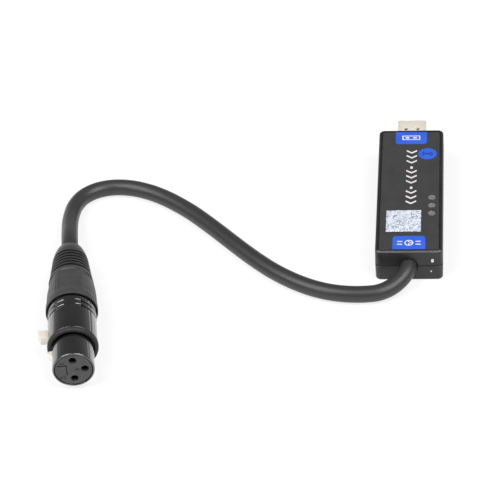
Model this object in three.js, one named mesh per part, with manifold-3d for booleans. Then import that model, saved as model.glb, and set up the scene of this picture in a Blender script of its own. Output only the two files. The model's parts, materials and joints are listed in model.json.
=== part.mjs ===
// A usb dmx interface: a flat two-part plastic case with a usb plug on one end, and on the other
// a short lead that ends in a round female connector with a sprung latch.
// Millimetres. The case lies on z = 0 and its plug points along +Y. The origin is under the middle
// of the case and plug together.
import * as THREE from "three";
import { mergeVertices } from "three/addons/utils/BufferGeometryUtils.js";
import Module from "manifold-3d";

const wasm = await Module();
wasm.setup();

// Clearances and mesh fineness
const fitGap = 0.3; // between pieces that seat on each other
const snugGap = 0.12; // round a lens or a label in its hole
const runGap = 0.2; // round the latch pin
const overrun = 1.5; // how far a cutting shape passes the face that it cuts
const weldDistance = 0.0001;
const roundSides = 32;
const smallSides = 16;
const wireSides = 6;
const cornerSteps = 4;
const edgeSteps = 3;

// Case
const caseWidth = 26.65; // at the seam
const caseLength = 81.6;
const seamHeight = 7;
const upperHeight = 7.25; // from the seam to the top
const caseWall = 1.6;
const caseCorner = 2.3;
const caseEdge = 1.2; // rounding of the top and bottom edges
const caseDraft = 0.35; // each side leans in by this much, from the seam to the top or bottom
const leastCorner = 0.4;
const seamGap = 0.3;
const lipHeight = 1.2;
const lipThickness = 0.75;
const postRadius = 1.8;
const postInset = 2.4; // from the board's sides and near end to the middle of a post
const pegRadius = 0.85;
const pegHeight = 1.1; // above the board

// Label and light windows
const labelThickness = 0.2;
const labelBorder = 0.2; // bare rim between the flat of the top and the label
const windowCount = 3;
const windowRadius = 1.6;
const windowInset = 4.565; // from the right side of the case to the middle of the windows
const windowY = -10.65; // the middle window, from the middle of the case
const windowPitch = 5.2;
const windowFlangeThickness = 0.7;
const lightRodRadius = 1.1;

// Board and what stands on it
const boardThickness = 1.6;
const boardSideGap = 0.625; // from the board to each side wall
const boardEndGap = 0.8; // from the board to the wall behind the plug
const boardLeadSpace = 10.1; // from the board to the wall at the lead
const ledSize = [1.6, 3.2, 1.1];
const chipSize = [7, 7, 1.4];
const chipLegCount = 8; // on each side
const chipLegReach = 0.9;
const chipLegWidth = 0.4;
const chipLegHeight = 0.5;
const radioBoardSize = [13, 17, 0.8];
const shieldSize = [10.5, 11, 2];
const shieldShift = -2; // along Y from the middle of the radio board
const driverSize = [3.9, 4.9, 1.5];
const driverLegCount = 4;
const crystalSize = [4.6, 11, 3.6];
const regulatorSize = [6.5, 3.5, 1.6];
const capacitorRadius = 2.5;
const capacitorHeight = 5.4;
const padPitch = 2.6; // between the wires' solder pads
const padInset = 2.2; // from the board's near end

// Middles of the pieces on the board, from its middle: shares of half its width and half its length
const chipPlaceShares = [-0.31, 0.25];
const radioPlaceShares = [-0.23, -0.27];
const driverPlaceShares = [-0.47, -0.74];
const crystalPlaceShares = [0.5, 0.16];
const regulatorPlaceShares = [-0.52, 0.62];
const capacitorPlaceShares = [
  [0.47, 0.58],
  [0.32, -0.73],
];

// Plug
const plugWidth = 12;
const plugHeight = 4.5;
const plugReach = 13.85; // beyond the case
const plugInside = 6.1; // behind the outer face of the case
const plugWall = 0.3;
const plugCorner = 0.6;
const plugLead = 0.2;
const plugWindowWidth = 2.5;
const plugWindowLength = 2;
const plugWindowX = 2.5;
const plugWindowSetback = 5.16; // from the tip
const tongueSideGap = 0.15;
const tongueThickness = 1.95;
const tongueSetback = 0.5; // from the tip
const tongueBlockSetback = 11.9; // from the tip to the block that fills the shell
const contactWidth = 1;
const contactThickness = 0.2;
const innerContactX = 1;
const outerContactX = 3.5;
const outerContactSetback = 1.6;
const innerContactSetback = 2.6;
const contactTail = 0.9; // behind the tongue

// Lead
const cordDiameter = 6.3;
const cordSides = 10;
const cordStep = 2 * cordDiameter;
const cordHoleGap = 0.4;
const jacketInside = 9.3; // from the outer face of the case
const tieThickness = 1;
const tieWidth = 2.4;
const tieHeadSize = [4, 3.2, 2.6];
const wireRadius = 0.6;
const wireRingRadius = 1.45; // the wires' circle in the jacket
const wireCount = 3;
const wireSteps = 7;
const wireLead = 0.9; // straight length at each end of a wire

// Connector: its sizes along the axis are counted from its face
const faceX = -124.77;
const faceY = -112.79;
const connectorTurn = THREE.MathUtils.degToRad(7.73);
const barrelRadius = 8;
const barrelWall = 0.6;
const barrelLength = 12;
const collarThickness = 1.4;
const collarLength = 2.5;
const collarChamfer = 0.6;
const bodyStep = 1.4; // from the barrel's outer face up to the body's
const bodyLength = 18.8;
const bodyEdge = 0.4;
const rearWall = 1.2;
const rearBoreDepth = 7;
const grooveCount = 2;
const grooveSetback = 3; // from the body's rear to the middle of the last groove
const groovePitch = 2.7;
const grooveWidth = 1.3;
const grooveDepth = 0.7;
const fieldWidth = 9.4; // the ungrooved field on top and below

const insertSetback = 0.4;
const insertLength = 21.6;
const socketInset = 2.8; // from the insert's side to the middle of each socket
const socketRadius = 1.35;
const socketLip = 1.4; // thickness in front of the contacts
const keyWidth = 4.2;
const keyInner = 2.6; // from the axis to the key slot's floor
const keyDepth = 10;

const contactRadius = 1.7;
const contactWall = 0.45;
const contactBoreDepth = 11.9;
const cupLength = 3.6;
const cupRadius = 1.3;
const cupWall = 0.5;
const cupDepth = 2.6;

const latchSink = 0.25; // from the barrel's outer face down to the latch's
const latchThickness = 0.75;
const latchWidth = 3.6;
const latchSlotGap = 0.4; // on each side of the latch
const latchTip = 4.6;
const toothHeight = 1.55;
const toothSetback = 0.6; // from the latch's tip
const toothRamp = 2.3;
const toothLength = 3.4;
const padSetback = 1.8; // from the front of the body
const padLength = 4.6;
const padFrontHeight = 4.75;
const padRearHeight = 5.55;
const padRound = 0.5;
const pivotSink = 0.25; // from the latch's outer face down to its pin
const pivotSetback = 3.1; // from the rear of the pad
const latchSwing = THREE.MathUtils.degToRad(6);
const eyeRadius = 1.25;
const pinRadius = 0.55;
const pinLength = 6.2;
const springThickness = 0.25;
const springWidth = 2.4;
const springBow = 0.55;
const springLength = 7;
const springSetback = 1.5; // from the rear of the insert

const chuckSetback = 1.5; // from the front of the nut's spigot
const chuckRingLength = 4;
const chuckConeLength = 10;
const chuckFrontWall = 2.75;
const chuckRearWall = 1.25;
const chuckSlotWidth = 0.9;
const chuckRing = 2.5; // unslotted front of the chuck
const jacketSetback = 2; // from the front of the chuck

const nutStep = 0.75; // from the body's outer face up to the nut's
const nutEdge = 0.5;
const nutLength = 20.5;
const nutFrontLength = 10.1; // from the nut's front to where its taper steepens
const nutFrontTaper = 0.95;
const nutRearTaper = 1.6;
const flatCount = 6;
const flatFrontSetback = 3.6;
const flatRearSetback = 2.4;
const flatDepth = 0.75;

const shankSetback = 2.5; // from the rear of the chuck
const bootStep = 0.25; // from the nut's rear edge down to the boot
const bootLength = 17.3;
const bootTailLength = 5;
const bootRearWall = 2.05;
const bootTailWall = 1.15;
const ribCount = 6;
const ribDepth = 0.7;
const ribGapShare = 0.42; // of each rib's pitch

// Derived places of the case
const caseHeight = seamHeight + upperHeight;
const caseCentreY = -plugReach / 2;
const windowX = caseWidth / 2 - windowInset;
const windowFlange = windowPitch / 2 - fitGap;
const boardTop = seamHeight - plugHeight / 2;
const boardBottom = boardTop - boardThickness;
const boardWidth = caseWidth - 2 * (caseWall + boardSideGap);
const boardFarEnd = caseLength / 2 - caseWall - boardEndGap;
const boardNearEnd = caseWall + boardLeadSpace - caseLength / 2;
const lipInset = caseWall - lipThickness;
const tongueWidth = plugWidth - 2 * (plugWall + tongueSideGap);
const contactXs = [-outerContactX, -innerContactX, innerContactX, outerContactX];
const cordRadius = cordDiameter / 2;
const jacketEndY = jacketInside - caseLength / 2;

// Derived radii of the connector
const barrelBore = barrelRadius - barrelWall;
const collarBore = barrelRadius + fitGap;
const collarRadius = collarBore + collarThickness;
const bodyRadius = barrelRadius + bodyStep;
const rearBore = bodyRadius - rearWall;
const insertRadius = barrelBore - fitGap;
const socketRing = insertRadius - socketInset;
const latchOuter = barrelRadius - latchSink;
const latchInner = latchOuter - latchThickness;
const pivotX = latchOuter - pivotSink;
const chuckBore = cordRadius + fitGap;
const chuckFrontRadius = chuckBore + chuckFrontWall;
const chuckRearRadius = chuckBore + chuckRearWall;
const spigotRadius = rearBore - fitGap;
const nutRadius = bodyRadius + nutStep;
const nutBulgeRadius = nutRadius - nutFrontTaper;
const nutRearRadius = nutBulgeRadius - nutRearTaper;
const nutMouth = chuckFrontRadius + fitGap;
const nutBore = chuckRearRadius + fitGap;
const bootBore = cordRadius + fitGap;
const bootFrontRadius = nutRearRadius - bootStep;
const bootRearRadius = bootBore + bootRearWall;
const bootTailRadius = bootBore + bootTailWall;

// Derived places along the connector's axis
const bodyStart = barrelLength + collarLength + fitGap;
const bodyEnd = bodyStart + bodyLength;
const rearBoreStart = bodyEnd - rearBoreDepth;
const insertEnd = insertSetback + insertLength;
const contactStart = insertSetback + socketLip + fitGap;
const cupEnd = insertEnd + cupLength;
const toothStart = latchTip + toothSetback;
const toothEnd = toothStart + toothLength;
const padStart = bodyStart + padSetback;
const padEnd = padStart + padLength;
const pivotU = padEnd + pivotSetback;
const latchReliefFloor = latchInner - (pivotU - keyDepth) * Math.sin(latchSwing) - fitGap;
const springEnd = insertEnd - springSetback;
const nutStart = bodyEnd + fitGap;
const spigotStart = rearBoreStart + 3 * fitGap;
const nutBulgeU = nutStart + nutFrontLength;
const nutEnd = nutStart + nutLength;
const chuckStart = spigotStart + chuckSetback;
const chuckShoulder = chuckStart + chuckRingLength;
const chuckEnd = chuckShoulder + chuckConeLength;
const jacketStart = chuckStart + jacketSetback;
const bootStart = nutEnd + fitGap;
const bootEnd = bootStart + bootLength;
const bootTailStart = bootEnd - bootTailLength;

// Route of the lead's middle line from the case to the connector's tail
const cordRoute = [
  [-0.5, -49.6, 6.8],
  [-2.9, -53.8, 5.6],
  [-6.8, -57.4, 4.3],
  [-11.6, -59.6, 3.5],
  [-17.0, -60.3, 3.2],
  [-23.6, -60.2, 3.2],
  [-30.4, -59.0, 3.2],
  [-36.8, -56.7, 3.2],
  [-42.8, -53.5, 3.2],
  [-48.8, -49.4, 3.2],
  [-54.6, -44.6, 3.2],
  [-60.3, -39.0, 3.2],
  [-65.9, -33.0, 3.2],
  [-71.4, -26.7, 3.2],
  [-77.0, -20.2, 3.2],
  [-82.7, -13.8, 3.2],
  [-88.5, -7.6, 3.2],
  [-94.6, -2.0, 3.2],
  [-101.1, 3.1, 3.2],
  [-108.2, 7.3, 3.2],
  [-115.8, 10.0, 3.2],
  [-123.3, 10.5, 3.2],
  [-129.9, 8.5, 3.2],
  [-134.9, 4.0, 3.3],
  [-137.5, -2.3, 3.6],
  [-138.1, -9.6, 4.5],
  [-137.8, -16.8, 5.9],
  [-137.0, -23.6, 7.5],
  [-136.1, -30.2, 9.1],
  [-135.3, -35.6, 10.0],
  [-134.57, -40.6, 10.15],
];

// A closed three.js geometry as a solid that can be joined and cut, with its faces pointing out.
function solid(geometry) {
  const bare = geometry.index ? geometry.toNonIndexed() : geometry.clone();
  bare.deleteAttribute("normal");
  bare.deleteAttribute("uv");
  const merged = mergeVertices(bare, weldDistance);
  const place = merged.attributes.position;
  const [a, b, c] = [new THREE.Vector3(), new THREE.Vector3(), new THREE.Vector3()];
  const faces = [];
  let volume = 0;
  for (let i = 0; i < merged.index.count; i += 3) {
    const [p, q, r] = [merged.index.getX(i), merged.index.getX(i + 1), merged.index.getX(i + 2)];
    if (p === q || q === r || r === p) continue;
    faces.push([p, q, r]);
    a.fromBufferAttribute(place, p);
    b.fromBufferAttribute(place, q);
    c.fromBufferAttribute(place, r);
    volume += a.dot(b.cross(c));
  }
  if (volume < 0) faces.forEach((face) => face.reverse());
  const triVerts = new Uint32Array(faces.flat());
  return new wasm.Manifold(new wasm.Mesh({ numProp: 3, vertProperties: place.array, triVerts }));
}

// A named mesh of a solid or of a closed geometry.
function piece(name, shape, look) {
  const body = shape.isBufferGeometry ? solid(shape) : shape;
  const made = body.getMesh();
  const geometry = new THREE.BufferGeometry();
  geometry.setAttribute("position", new THREE.BufferAttribute(made.vertProperties, 3));
  geometry.setIndex(new THREE.BufferAttribute(made.triVerts, 1));
  geometry.computeVertexNormals();
  const mesh = new THREE.Mesh(geometry, new THREE.MeshStandardMaterial(look));
  mesh.name = name;
  return mesh;
}

// Finishes
const looks = {
  caseBlack: { color: 0x3e3e3e, roughness: 0.6, metalness: 0 },
  label: { color: 0x4b4b4b, roughness: 0.5, metalness: 0 },
  lens: { color: 0x8a8a8a, roughness: 0.3, metalness: 0 },
  board: { color: 0x1f5b34, roughness: 0.5, metalness: 0 },
  chip: { color: 0x1c1c1e, roughness: 0.5, metalness: 0 },
  steel: { color: 0xd6d3cc, roughness: 0.25, metalness: 1 },
  gold: { color: 0xd9b45a, roughness: 0.25, metalness: 1 },
  led: { color: 0xf3f0d8, roughness: 0.3, metalness: 0 },
  white: { color: 0xeeeeea, roughness: 0.5, metalness: 0 },
  jacket: { color: 0x505050, roughness: 0.6, metalness: 0 },
  shell: { color: 0x303032, roughness: 0.18, metalness: 0.6 },
  insert: { color: 0x575557, roughness: 0.5, metalness: 0 },
  collar: { color: 0x2a2a2a, roughness: 0.7, metalness: 0 },
  nut: { color: 0x5a5a5a, roughness: 0.4, metalness: 0 },
  wires: [0xb03028, 0xe8e8e8, 0x202020],
};

// A box by its size, with the middle of its base at a place.
function block(size, place = [0, 0, 0]) {
  return solid(new THREE.BoxGeometry(...size)).translate([place[0], place[1], place[2] + size[2] / 2]);
}

// A box by its lowest and highest corners.
function span(low, high) {
  const size = high.map((value, i) => value - low[i]);
  return block(size, [(low[0] + high[0]) / 2, (low[1] + high[1]) / 2, low[2]]);
}

// An upright cylinder by its radius, lowest and highest height, and place.
function post(radius, low, high, x = 0, y = 0, sides = smallSides) {
  const round = new THREE.CylinderGeometry(radius, radius, high - low, sides);
  round.rotateX(Math.PI / 2);
  return solid(round).translate([x, y, (low + high) / 2]);
}

// A turned shape about the Y axis from a profile of [radius, distance along the axis].
function turned(profile, sides = roundSides) {
  const closed = profile[0][0] > 0 ? [...profile, profile[0]] : profile;
  return solid(new THREE.LatheGeometry(closed.map(([r, u]) => new THREE.Vector2(r, u)), sides));
}

// The outline of a rectangle with rounded corners, counterclockwise from its right side.
function roundedOutline(width, length, corner) {
  const points = [];
  for (let quarter = 0; quarter < 4; quarter++) {
    const sideX = quarter === 0 || quarter === 3 ? 1 : -1;
    const sideY = quarter < 2 ? 1 : -1;
    for (let step = 0; step <= cornerSteps; step++) {
      const angle = ((quarter + step / cornerSteps) * Math.PI) / 2;
      points.push([
        sideX * (width / 2 - corner) + corner * Math.cos(angle),
        sideY * (length / 2 - corner) + corner * Math.sin(angle),
      ]);
    }
  }
  return points;
}

// A stack of rounded rectangles, each given as [height, inset from the full outline].
function slab(width, length, corner, levels) {
  const rings = levels.map(([z, inset]) => {
    const round = Math.max(corner - inset, leastCorner);
    return roundedOutline(width - 2 * inset, length - 2 * inset, round).map(([x, y]) => [x, y, z]);
  });
  const count = rings[0].length;
  const faces = [];
  for (let ring = 0; ring + 1 < rings.length; ring++) {
    for (let i = 0; i < count; i++) {
      const [a, b] = [ring * count + i, ring * count + ((i + 1) % count)];
      faces.push(a, b, b + count, a, b + count, a + count);
    }
  }
  const top = (rings.length - 1) * count;
  for (let i = 1; i + 1 < count; i++) faces.push(0, i + 1, i, top, top + i, top + i + 1);
  const geometry = new THREE.BufferGeometry();
  geometry.setAttribute("position", new THREE.Float32BufferAttribute(rings.flat(2), 3));
  geometry.setIndex(faces);
  return solid(geometry);
}

// A flat outline of [x, y] points carried up from one height to another.
function prism(outline, low, high) {
  const shape = new THREE.Shape(outline.map(([x, y]) => new THREE.Vector2(x, y)));
  const made = new THREE.ExtrudeGeometry(shape, { depth: high - low, bevelEnabled: false });
  return solid(made).translate([0, 0, low]);
}

// A round section carried along a smooth curve through the given points.
function tube(points, radius, sides, steps) {
  const path = new THREE.CatmullRomCurve3(points.map((point) => new THREE.Vector3(...point)));
  const section = new THREE.Shape();
  for (let i = 0; i < sides; i++) {
    const angle = (2 * Math.PI * i) / sides;
    const [x, y] = [radius * Math.cos(angle), radius * Math.sin(angle)];
    if (i === 0) section.moveTo(x, y);
    else section.lineTo(x, y);
  }
  section.closePath();
  return new THREE.ExtrudeGeometry(section, { steps, extrudePath: path, bevelEnabled: false });
}

// Heights and insets of an edge rounding, from the flat face at the given height to the side.
// Towards is 1 where the side lies above the face, and -1 where it lies below.
function edgeLevels(height, towards) {
  const levels = [];
  for (let step = 0; step <= edgeSteps; step++) {
    const angle = ((step / edgeSteps) * Math.PI) / 2;
    const rise = caseEdge * (1 - Math.cos(angle));
    levels.push([height + towards * rise, caseDraft + caseEdge * (1 - Math.sin(angle))]);
  }
  return towards > 0 ? levels : levels.reverse();
}

const caseSlab = (levels) => slab(caseWidth, caseLength, caseCorner, levels);

// The places of the four posts that hold the board: by its near corners and behind the plug.
function postPlaces() {
  const x = boardWidth / 2 - postInset;
  const plugBack = caseLength / 2 - plugInside - contactTail;
  const ys = [boardNearEnd + postInset, plugBack - postRadius - fitGap];
  return ys.flatMap((y) => [-x, x].map((side) => [side, y]));
}

const windowPlaces = Array.from({ length: windowCount }, (_, i) => [
  windowX,
  windowY + (i - (windowCount - 1) / 2) * windowPitch,
]);

// What leaves the case at its two ends: the lead's round hole and the plug's mouth.
function caseOpenings() {
  const holeRadius = cordRadius + cordHoleGap;
  const hole = post(holeRadius, -overrun, caseWall + overrun, 0, 0, roundSides);
  const mouthWidth = plugWidth / 2 + fitGap;
  const mouthHeight = plugHeight / 2 + fitGap;
  const farFace = caseLength / 2;
  const mouth = span(
    [-mouthWidth, farFace - caseWall - overrun, seamHeight - mouthHeight],
    [mouthWidth, farFace + overrun, seamHeight + mouthHeight],
  );
  return hole.rotate([-90, 0, 0]).translate([0, -caseLength / 2, seamHeight]).add(mouth);
}

function lowerCase() {
  const rim = seamHeight - seamGap / 2;
  const lipTop = seamHeight + lipHeight;
  const cavity = caseSlab([
    [caseWall, caseWall + caseDraft],
    [rim, caseWall],
    [lipTop + overrun, caseWall],
  ]);
  let shell = caseSlab([...edgeLevels(0, 1), [rim, 0]]);
  shell = shell.add(caseSlab([[rim - lipHeight, lipInset], [lipTop, lipInset]])).subtract(cavity);
  for (const [x, y] of postPlaces()) {
    shell = shell.add(post(postRadius, caseWall / 2, boardBottom, x, y));
    shell = shell.add(post(pegRadius, boardBottom / 2, boardTop + pegHeight, x, y));
  }
  return shell.subtract(caseOpenings());
}

function upperCase() {
  const rim = seamHeight + seamGap / 2;
  const ceiling = caseHeight - caseWall;
  const labelInset = caseDraft + caseEdge + labelBorder - snugGap;
  let shell = caseSlab([[rim, 0], ...edgeLevels(caseHeight, -1)]);
  shell = shell.subtract(caseSlab([[rim - overrun, caseWall], [ceiling, caseWall + caseDraft]]));
  const rebate = lipInset - fitGap;
  const rebateTop = seamHeight + lipHeight + fitGap;
  shell = shell.subtract(caseSlab([[rim - overrun, rebate], [rebateTop, rebate]]));
  const labelFloor = caseHeight - labelThickness;
  shell = shell.subtract(caseSlab([[labelFloor, labelInset], [caseHeight + overrun, labelInset]]));
  for (const [x, y] of postPlaces()) {
    const pillar = post(postRadius, boardTop + fitGap, ceiling + caseWall / 2, x, y);
    const socketTop = boardTop + pegHeight + fitGap;
    shell = shell.add(pillar).subtract(post(pegRadius + runGap, boardTop, socketTop, x, y));
  }
  for (const [x, y] of windowPlaces) {
    const hole = post(windowRadius + snugGap, ceiling - overrun, caseHeight + overrun, x, y, roundSides);
    shell = shell.subtract(hole);
  }
  return shell.subtract(caseOpenings());
}

function labelFilm() {
  const inset = caseDraft + caseEdge + labelBorder;
  const floor = caseHeight - labelThickness;
  let film = caseSlab([[floor, inset], [caseHeight, inset]]);
  for (const [x, y] of windowPlaces) {
    const hole = post(windowRadius + snugGap, floor - overrun, caseHeight + overrun, x, y, roundSides);
    film = film.subtract(hole);
  }
  return film;
}

// A light pipe: a lens in the top, a flange under it and a rod down to just above its light.
function lightWindow(x, y) {
  const ceiling = caseHeight - caseWall;
  const low = boardTop + ledSize[2] + fitGap;
  const lens = post(windowRadius, ceiling - windowFlangeThickness / 2, caseHeight, x, y, roundSides);
  const flange = post(windowFlange, ceiling - windowFlangeThickness, ceiling, x, y);
  return lens.add(flange).add(post(lightRodRadius, low, ceiling - windowFlangeThickness / 2, x, y));
}

function mainBoard() {
  let board = span(
    [-boardWidth / 2, boardNearEnd, boardBottom],
    [boardWidth / 2, boardFarEnd, boardTop],
  );
  for (const [x, y] of postPlaces()) {
    board = board.subtract(post(pegRadius + runGap, boardBottom - overrun, boardTop + overrun, x, y));
  }
  return board;
}

// A chip with a row of legs along each of its long sides.
function leggedChip(size, legCount) {
  let chip = block(size);
  const pitch = size[1] / legCount;
  const reach = size[0] / 2 + chipLegReach;
  for (let i = 0; i < legCount; i++) {
    const y = (i - (legCount - 1) / 2) * pitch;
    const [near, far] = [y - chipLegWidth / 2, y + chipLegWidth / 2];
    chip = chip.add(span([-reach, near, 0], [reach, far, chipLegHeight]));
  }
  return chip;
}

// The place on the board that two shares name.
function onBoard([acrossShare, alongShare]) {
  const y = (boardNearEnd + boardFarEnd) / 2;
  return [(acrossShare * boardWidth) / 2, y + (alongShare * (boardFarEnd - boardNearEnd)) / 2];
}

function boardPieces() {
  const group = new THREE.Group();
  group.position.z = boardTop;
  const stand = (name, shape, look, [x, y], z = 0) => {
    const mesh = piece(name, shape, look);
    mesh.position.set(x, y, z);
    group.add(mesh);
  };
  windowPlaces.forEach((place, i) => stand(`status_led_${i + 1}`, block(ledSize), looks.led, place));
  stand("interface_chip", leggedChip(chipSize, chipLegCount), looks.chip, onBoard(chipPlaceShares));
  const driver = leggedChip(driverSize, driverLegCount);
  stand("line_driver_chip", driver, looks.chip, onBoard(driverPlaceShares));
  stand("voltage_regulator", block(regulatorSize), looks.chip, onBoard(regulatorPlaceShares));
  const radioPlace = onBoard(radioPlaceShares);
  stand("radio_board", block(radioBoardSize), looks.board, radioPlace);
  const shieldPlace = [radioPlace[0], radioPlace[1] + shieldShift];
  stand("radio_shield", block(shieldSize), looks.steel, shieldPlace, radioBoardSize[2]);
  const [canWidth, canLength, canHeight] = crystalSize;
  const crystal = slab(canWidth, canLength, canWidth / 2, [[0, 0], [canHeight, 0]]);
  stand("crystal_can", crystal, looks.steel, onBoard(crystalPlaceShares));
  capacitorPlaceShares.forEach((shares, i) => {
    const can = post(capacitorRadius, 0, capacitorHeight);
    stand(`capacitor_${i + 1}`, can, looks.steel, onBoard(shares));
  });
  return group;
}

// A shape modelled upright, laid so that its height runs along +Y.
const laid = (shape) => shape.rotate([-90, 0, 0]);

function plugShell() {
  const tip = plugReach;
  const wall = plugWall;
  let shell = slab(plugWidth, plugHeight, plugCorner, [[-plugInside, 0], [tip - plugLead, 0], [tip, plugLead]]);
  shell = shell.subtract(
    slab(plugWidth, plugHeight, plugCorner, [[-plugInside - overrun, wall], [tip + overrun, wall]]),
  );
  shell = laid(shell);
  for (const side of [-1, 1]) {
    const x = side * plugWindowX;
    const near = tip - plugWindowSetback - plugWindowLength;
    const cut = span(
      [x - plugWindowWidth / 2, near, -plugHeight / 2 - overrun],
      [x + plugWindowWidth / 2, tip - plugWindowSetback, plugHeight / 2 + overrun],
    );
    shell = shell.subtract(cut);
  }
  return shell;
}

// The plastic core of the plug: a block that fills the shell's rear, and a tongue along its floor.
function plugTongue() {
  const floor = plugWall - plugHeight / 2;
  const ceiling = plugHeight / 2 - plugWall - fitGap;
  const top = floor + tongueThickness;
  const bar = (height, end) =>
    laid(slab(tongueWidth, height, plugCorner, [[-plugInside, 0], [end, 0]])).translate([
      0,
      0,
      floor + height / 2,
    ]);
  const blockEnd = plugReach - tongueBlockSetback;
  let core = bar(tongueThickness, plugReach - tongueSetback).add(bar(ceiling - floor, blockEnd));
  for (const x of contactXs) {
    const reach = contactWidth / 2 + fitGap / 2;
    const low = [x - reach, -plugInside - overrun, top];
    const high = [x + reach, blockEnd + overrun, top + contactThickness + fitGap];
    core = core.subtract(span(low, high));
  }
  return core;
}

// A contact: a strip along the top of the tongue, with a tail down to the board.
function plugContact(x) {
  const inner = Math.abs(x) < Math.max(...contactXs);
  const tip = plugReach - (inner ? innerContactSetback : outerContactSetback);
  const low = plugWall - plugHeight / 2 + tongueThickness;
  const back = -plugInside - contactTail;
  const [left, right] = [x - contactWidth / 2, x + contactWidth / 2];
  const strip = span([left, back, low], [right, tip, low + contactThickness]);
  const tail = span([left, back, -plugHeight / 2], [right, back + contactThickness, low + contactThickness]);
  return strip.add(tail);
}

function usbPlug() {
  const group = new THREE.Group();
  group.position.set(0, caseLength / 2, seamHeight);
  group.add(piece("usb_plug_shell", plugShell(), looks.steel));
  group.add(piece("usb_plug_tongue", plugTongue(), looks.white));
  contactXs.forEach((x, i) => group.add(piece(`usb_contact_${i + 1}`, plugContact(x), looks.gold)));
  return group;
}

// The end of the jacket inside the case, with the tie that keeps it from being pulled out.
function leadEntry() {
  const group = new THREE.Group();
  group.position.set(0, -caseLength / 2, seamHeight);
  const jacket = laid(post(cordRadius, 0, jacketInside, 0, 0, roundSides));
  group.add(piece("lead_jacket_end", jacket, looks.jacket));
  const near = caseWall + caseDraft + fitGap;
  const inner = cordRadius + snugGap;
  const outer = inner + tieThickness;
  const far = near + tieWidth;
  const ring = turned([[inner, near], [outer, near], [outer, far], [inner, far]]);
  const [headWidth, headLength, headHeight] = tieHeadSize;
  const headBase = outer - tieThickness / 2;
  const head = span(
    [headBase, near, -headWidth / 2],
    [headBase + headHeight - tieThickness, near + headLength, headWidth / 2],
  );
  group.add(piece("cable_tie", ring.add(head), looks.white));
  return group;
}

// The place of one wire in the jacket's round section, as [across, up].
function wirePlace(i) {
  const angle = Math.PI / 2 + (2 * Math.PI * i) / wireCount;
  return [wireRingRadius * Math.cos(angle), wireRingRadius * Math.sin(angle)];
}

// A wire from the jacket's end in the case down to its pad on the board.
function boardWire(i) {
  const [x, z] = wirePlace(i);
  const start = jacketEndY + fitGap;
  const padX = ((wireCount - 1) / 2 - ((i + 1) % wireCount)) * padPitch;
  const padY = boardNearEnd + padInset;
  const padZ = boardTop + wireRadius + fitGap / 2;
  const points = [
    [x, start, seamHeight + z],
    [x, start + wireLead, seamHeight + z],
    [padX, padY - wireLead, padZ],
    [padX, padY, padZ],
  ];
  return tube(points, wireRadius, wireSides, wireSteps);
}

function interfaceCase() {
  const group = new THREE.Group();
  group.position.y = caseCentreY;
  group.add(piece("lower_case", lowerCase(), looks.caseBlack));
  group.add(piece("upper_case", upperCase(), looks.caseBlack));
  group.add(piece("label_film", labelFilm(), looks.label));
  windowPlaces.forEach(([x, y], i) => {
    group.add(piece(`light_window_${i + 1}`, lightWindow(x, y), looks.lens));
  });
  group.add(piece("main_board", mainBoard(), looks.board));
  group.add(boardPieces(), usbPlug(), leadEntry());
  for (let i = 0; i < wireCount; i++) {
    const look = { color: looks.wires[i], roughness: 0.5, metalness: 0 };
    group.add(piece(`board_wire_${i + 1}`, boardWire(i), look));
  }
  return group;
}

// The connector's metal shell: a thin barrel in front, a thicker body behind it with two grooves
// on each side, and the latch's slot along its left.
function connectorShell() {
  const rim = barrelWall / 2;
  let shell = turned([
    [barrelBore, rim],
    [barrelBore + rim, 0],
    [barrelRadius, rim],
    [barrelRadius, bodyStart],
    [bodyRadius - bodyEdge, bodyStart],
    [bodyRadius, bodyStart + bodyEdge],
    [bodyRadius, bodyEnd - bodyEdge],
    [bodyRadius - bodyEdge, bodyEnd],
    [rearBore, bodyEnd],
    [rearBore, rearBoreStart],
    [barrelBore, rearBoreStart],
  ]);
  const field = span(
    [-fieldWidth / 2, barrelLength, -bodyRadius - overrun],
    [fieldWidth / 2, bodyEnd + overrun, bodyRadius + overrun],
  );
  for (let i = 0; i < grooveCount; i++) {
    const low = bodyEnd - grooveSetback - i * groovePitch - grooveWidth / 2;
    const high = low + grooveWidth;
    const inner = bodyRadius - grooveDepth;
    const outer = bodyRadius + overrun;
    shell = shell.subtract(turned([[inner, low], [outer, low], [outer, high], [inner, high]]).subtract(field));
  }
  const slotHalf = latchWidth / 2 + latchSlotGap;
  const slot = span(
    [-bodyRadius - overrun, latchTip - latchSlotGap, -slotHalf],
    [-keyInner, pivotU + eyeRadius + latchSlotGap, slotHalf],
  );
  const holeHalf = pinLength / 2 + runGap;
  return shell.subtract(slot).subtract(post(pinRadius + runGap, -holeHalf, holeHalf, -pivotX, pivotU));
}

// The places of the three contacts on the face, as [across, up]: top, right and bottom.
const socketPlaces = Array.from({ length: wireCount }, (_, i) => {
  const angle = Math.PI / 2 - (Math.PI / 2) * i;
  return [socketRing * Math.cos(angle), socketRing * Math.sin(angle)];
});

// The plastic insert with its contact bores, the key slot on the left and, behind the key slot,
// the relief that the pressed latch moves into.
function connectorInsert() {
  let insert = turned([
    [0, insertSetback],
    [insertRadius, insertSetback],
    [insertRadius, insertEnd],
    [0, insertEnd],
  ]);
  for (const [x, z] of socketPlaces) {
    const lip = insertSetback + socketLip;
    const hole = laid(post(socketRadius, insertSetback - overrun, lip + overrun, 0, 0));
    const bore = laid(post(contactRadius + fitGap, lip, insertEnd + overrun, 0, 0));
    insert = insert.subtract(hole.add(bore).translate([x, 0, z]));
  }
  const keyHalf = keyWidth / 2;
  const key = span(
    [-insertRadius - overrun, insertSetback - overrun, -keyHalf],
    [-keyInner, keyDepth, keyHalf],
  );
  const reliefHalf = latchWidth / 2 + latchSlotGap;
  const relief = span(
    [-insertRadius - overrun, keyDepth - overrun, -reliefHalf],
    [-latchReliefFloor, insertEnd + overrun, reliefHalf],
  );
  return insert.subtract(key).subtract(relief);
}

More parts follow.
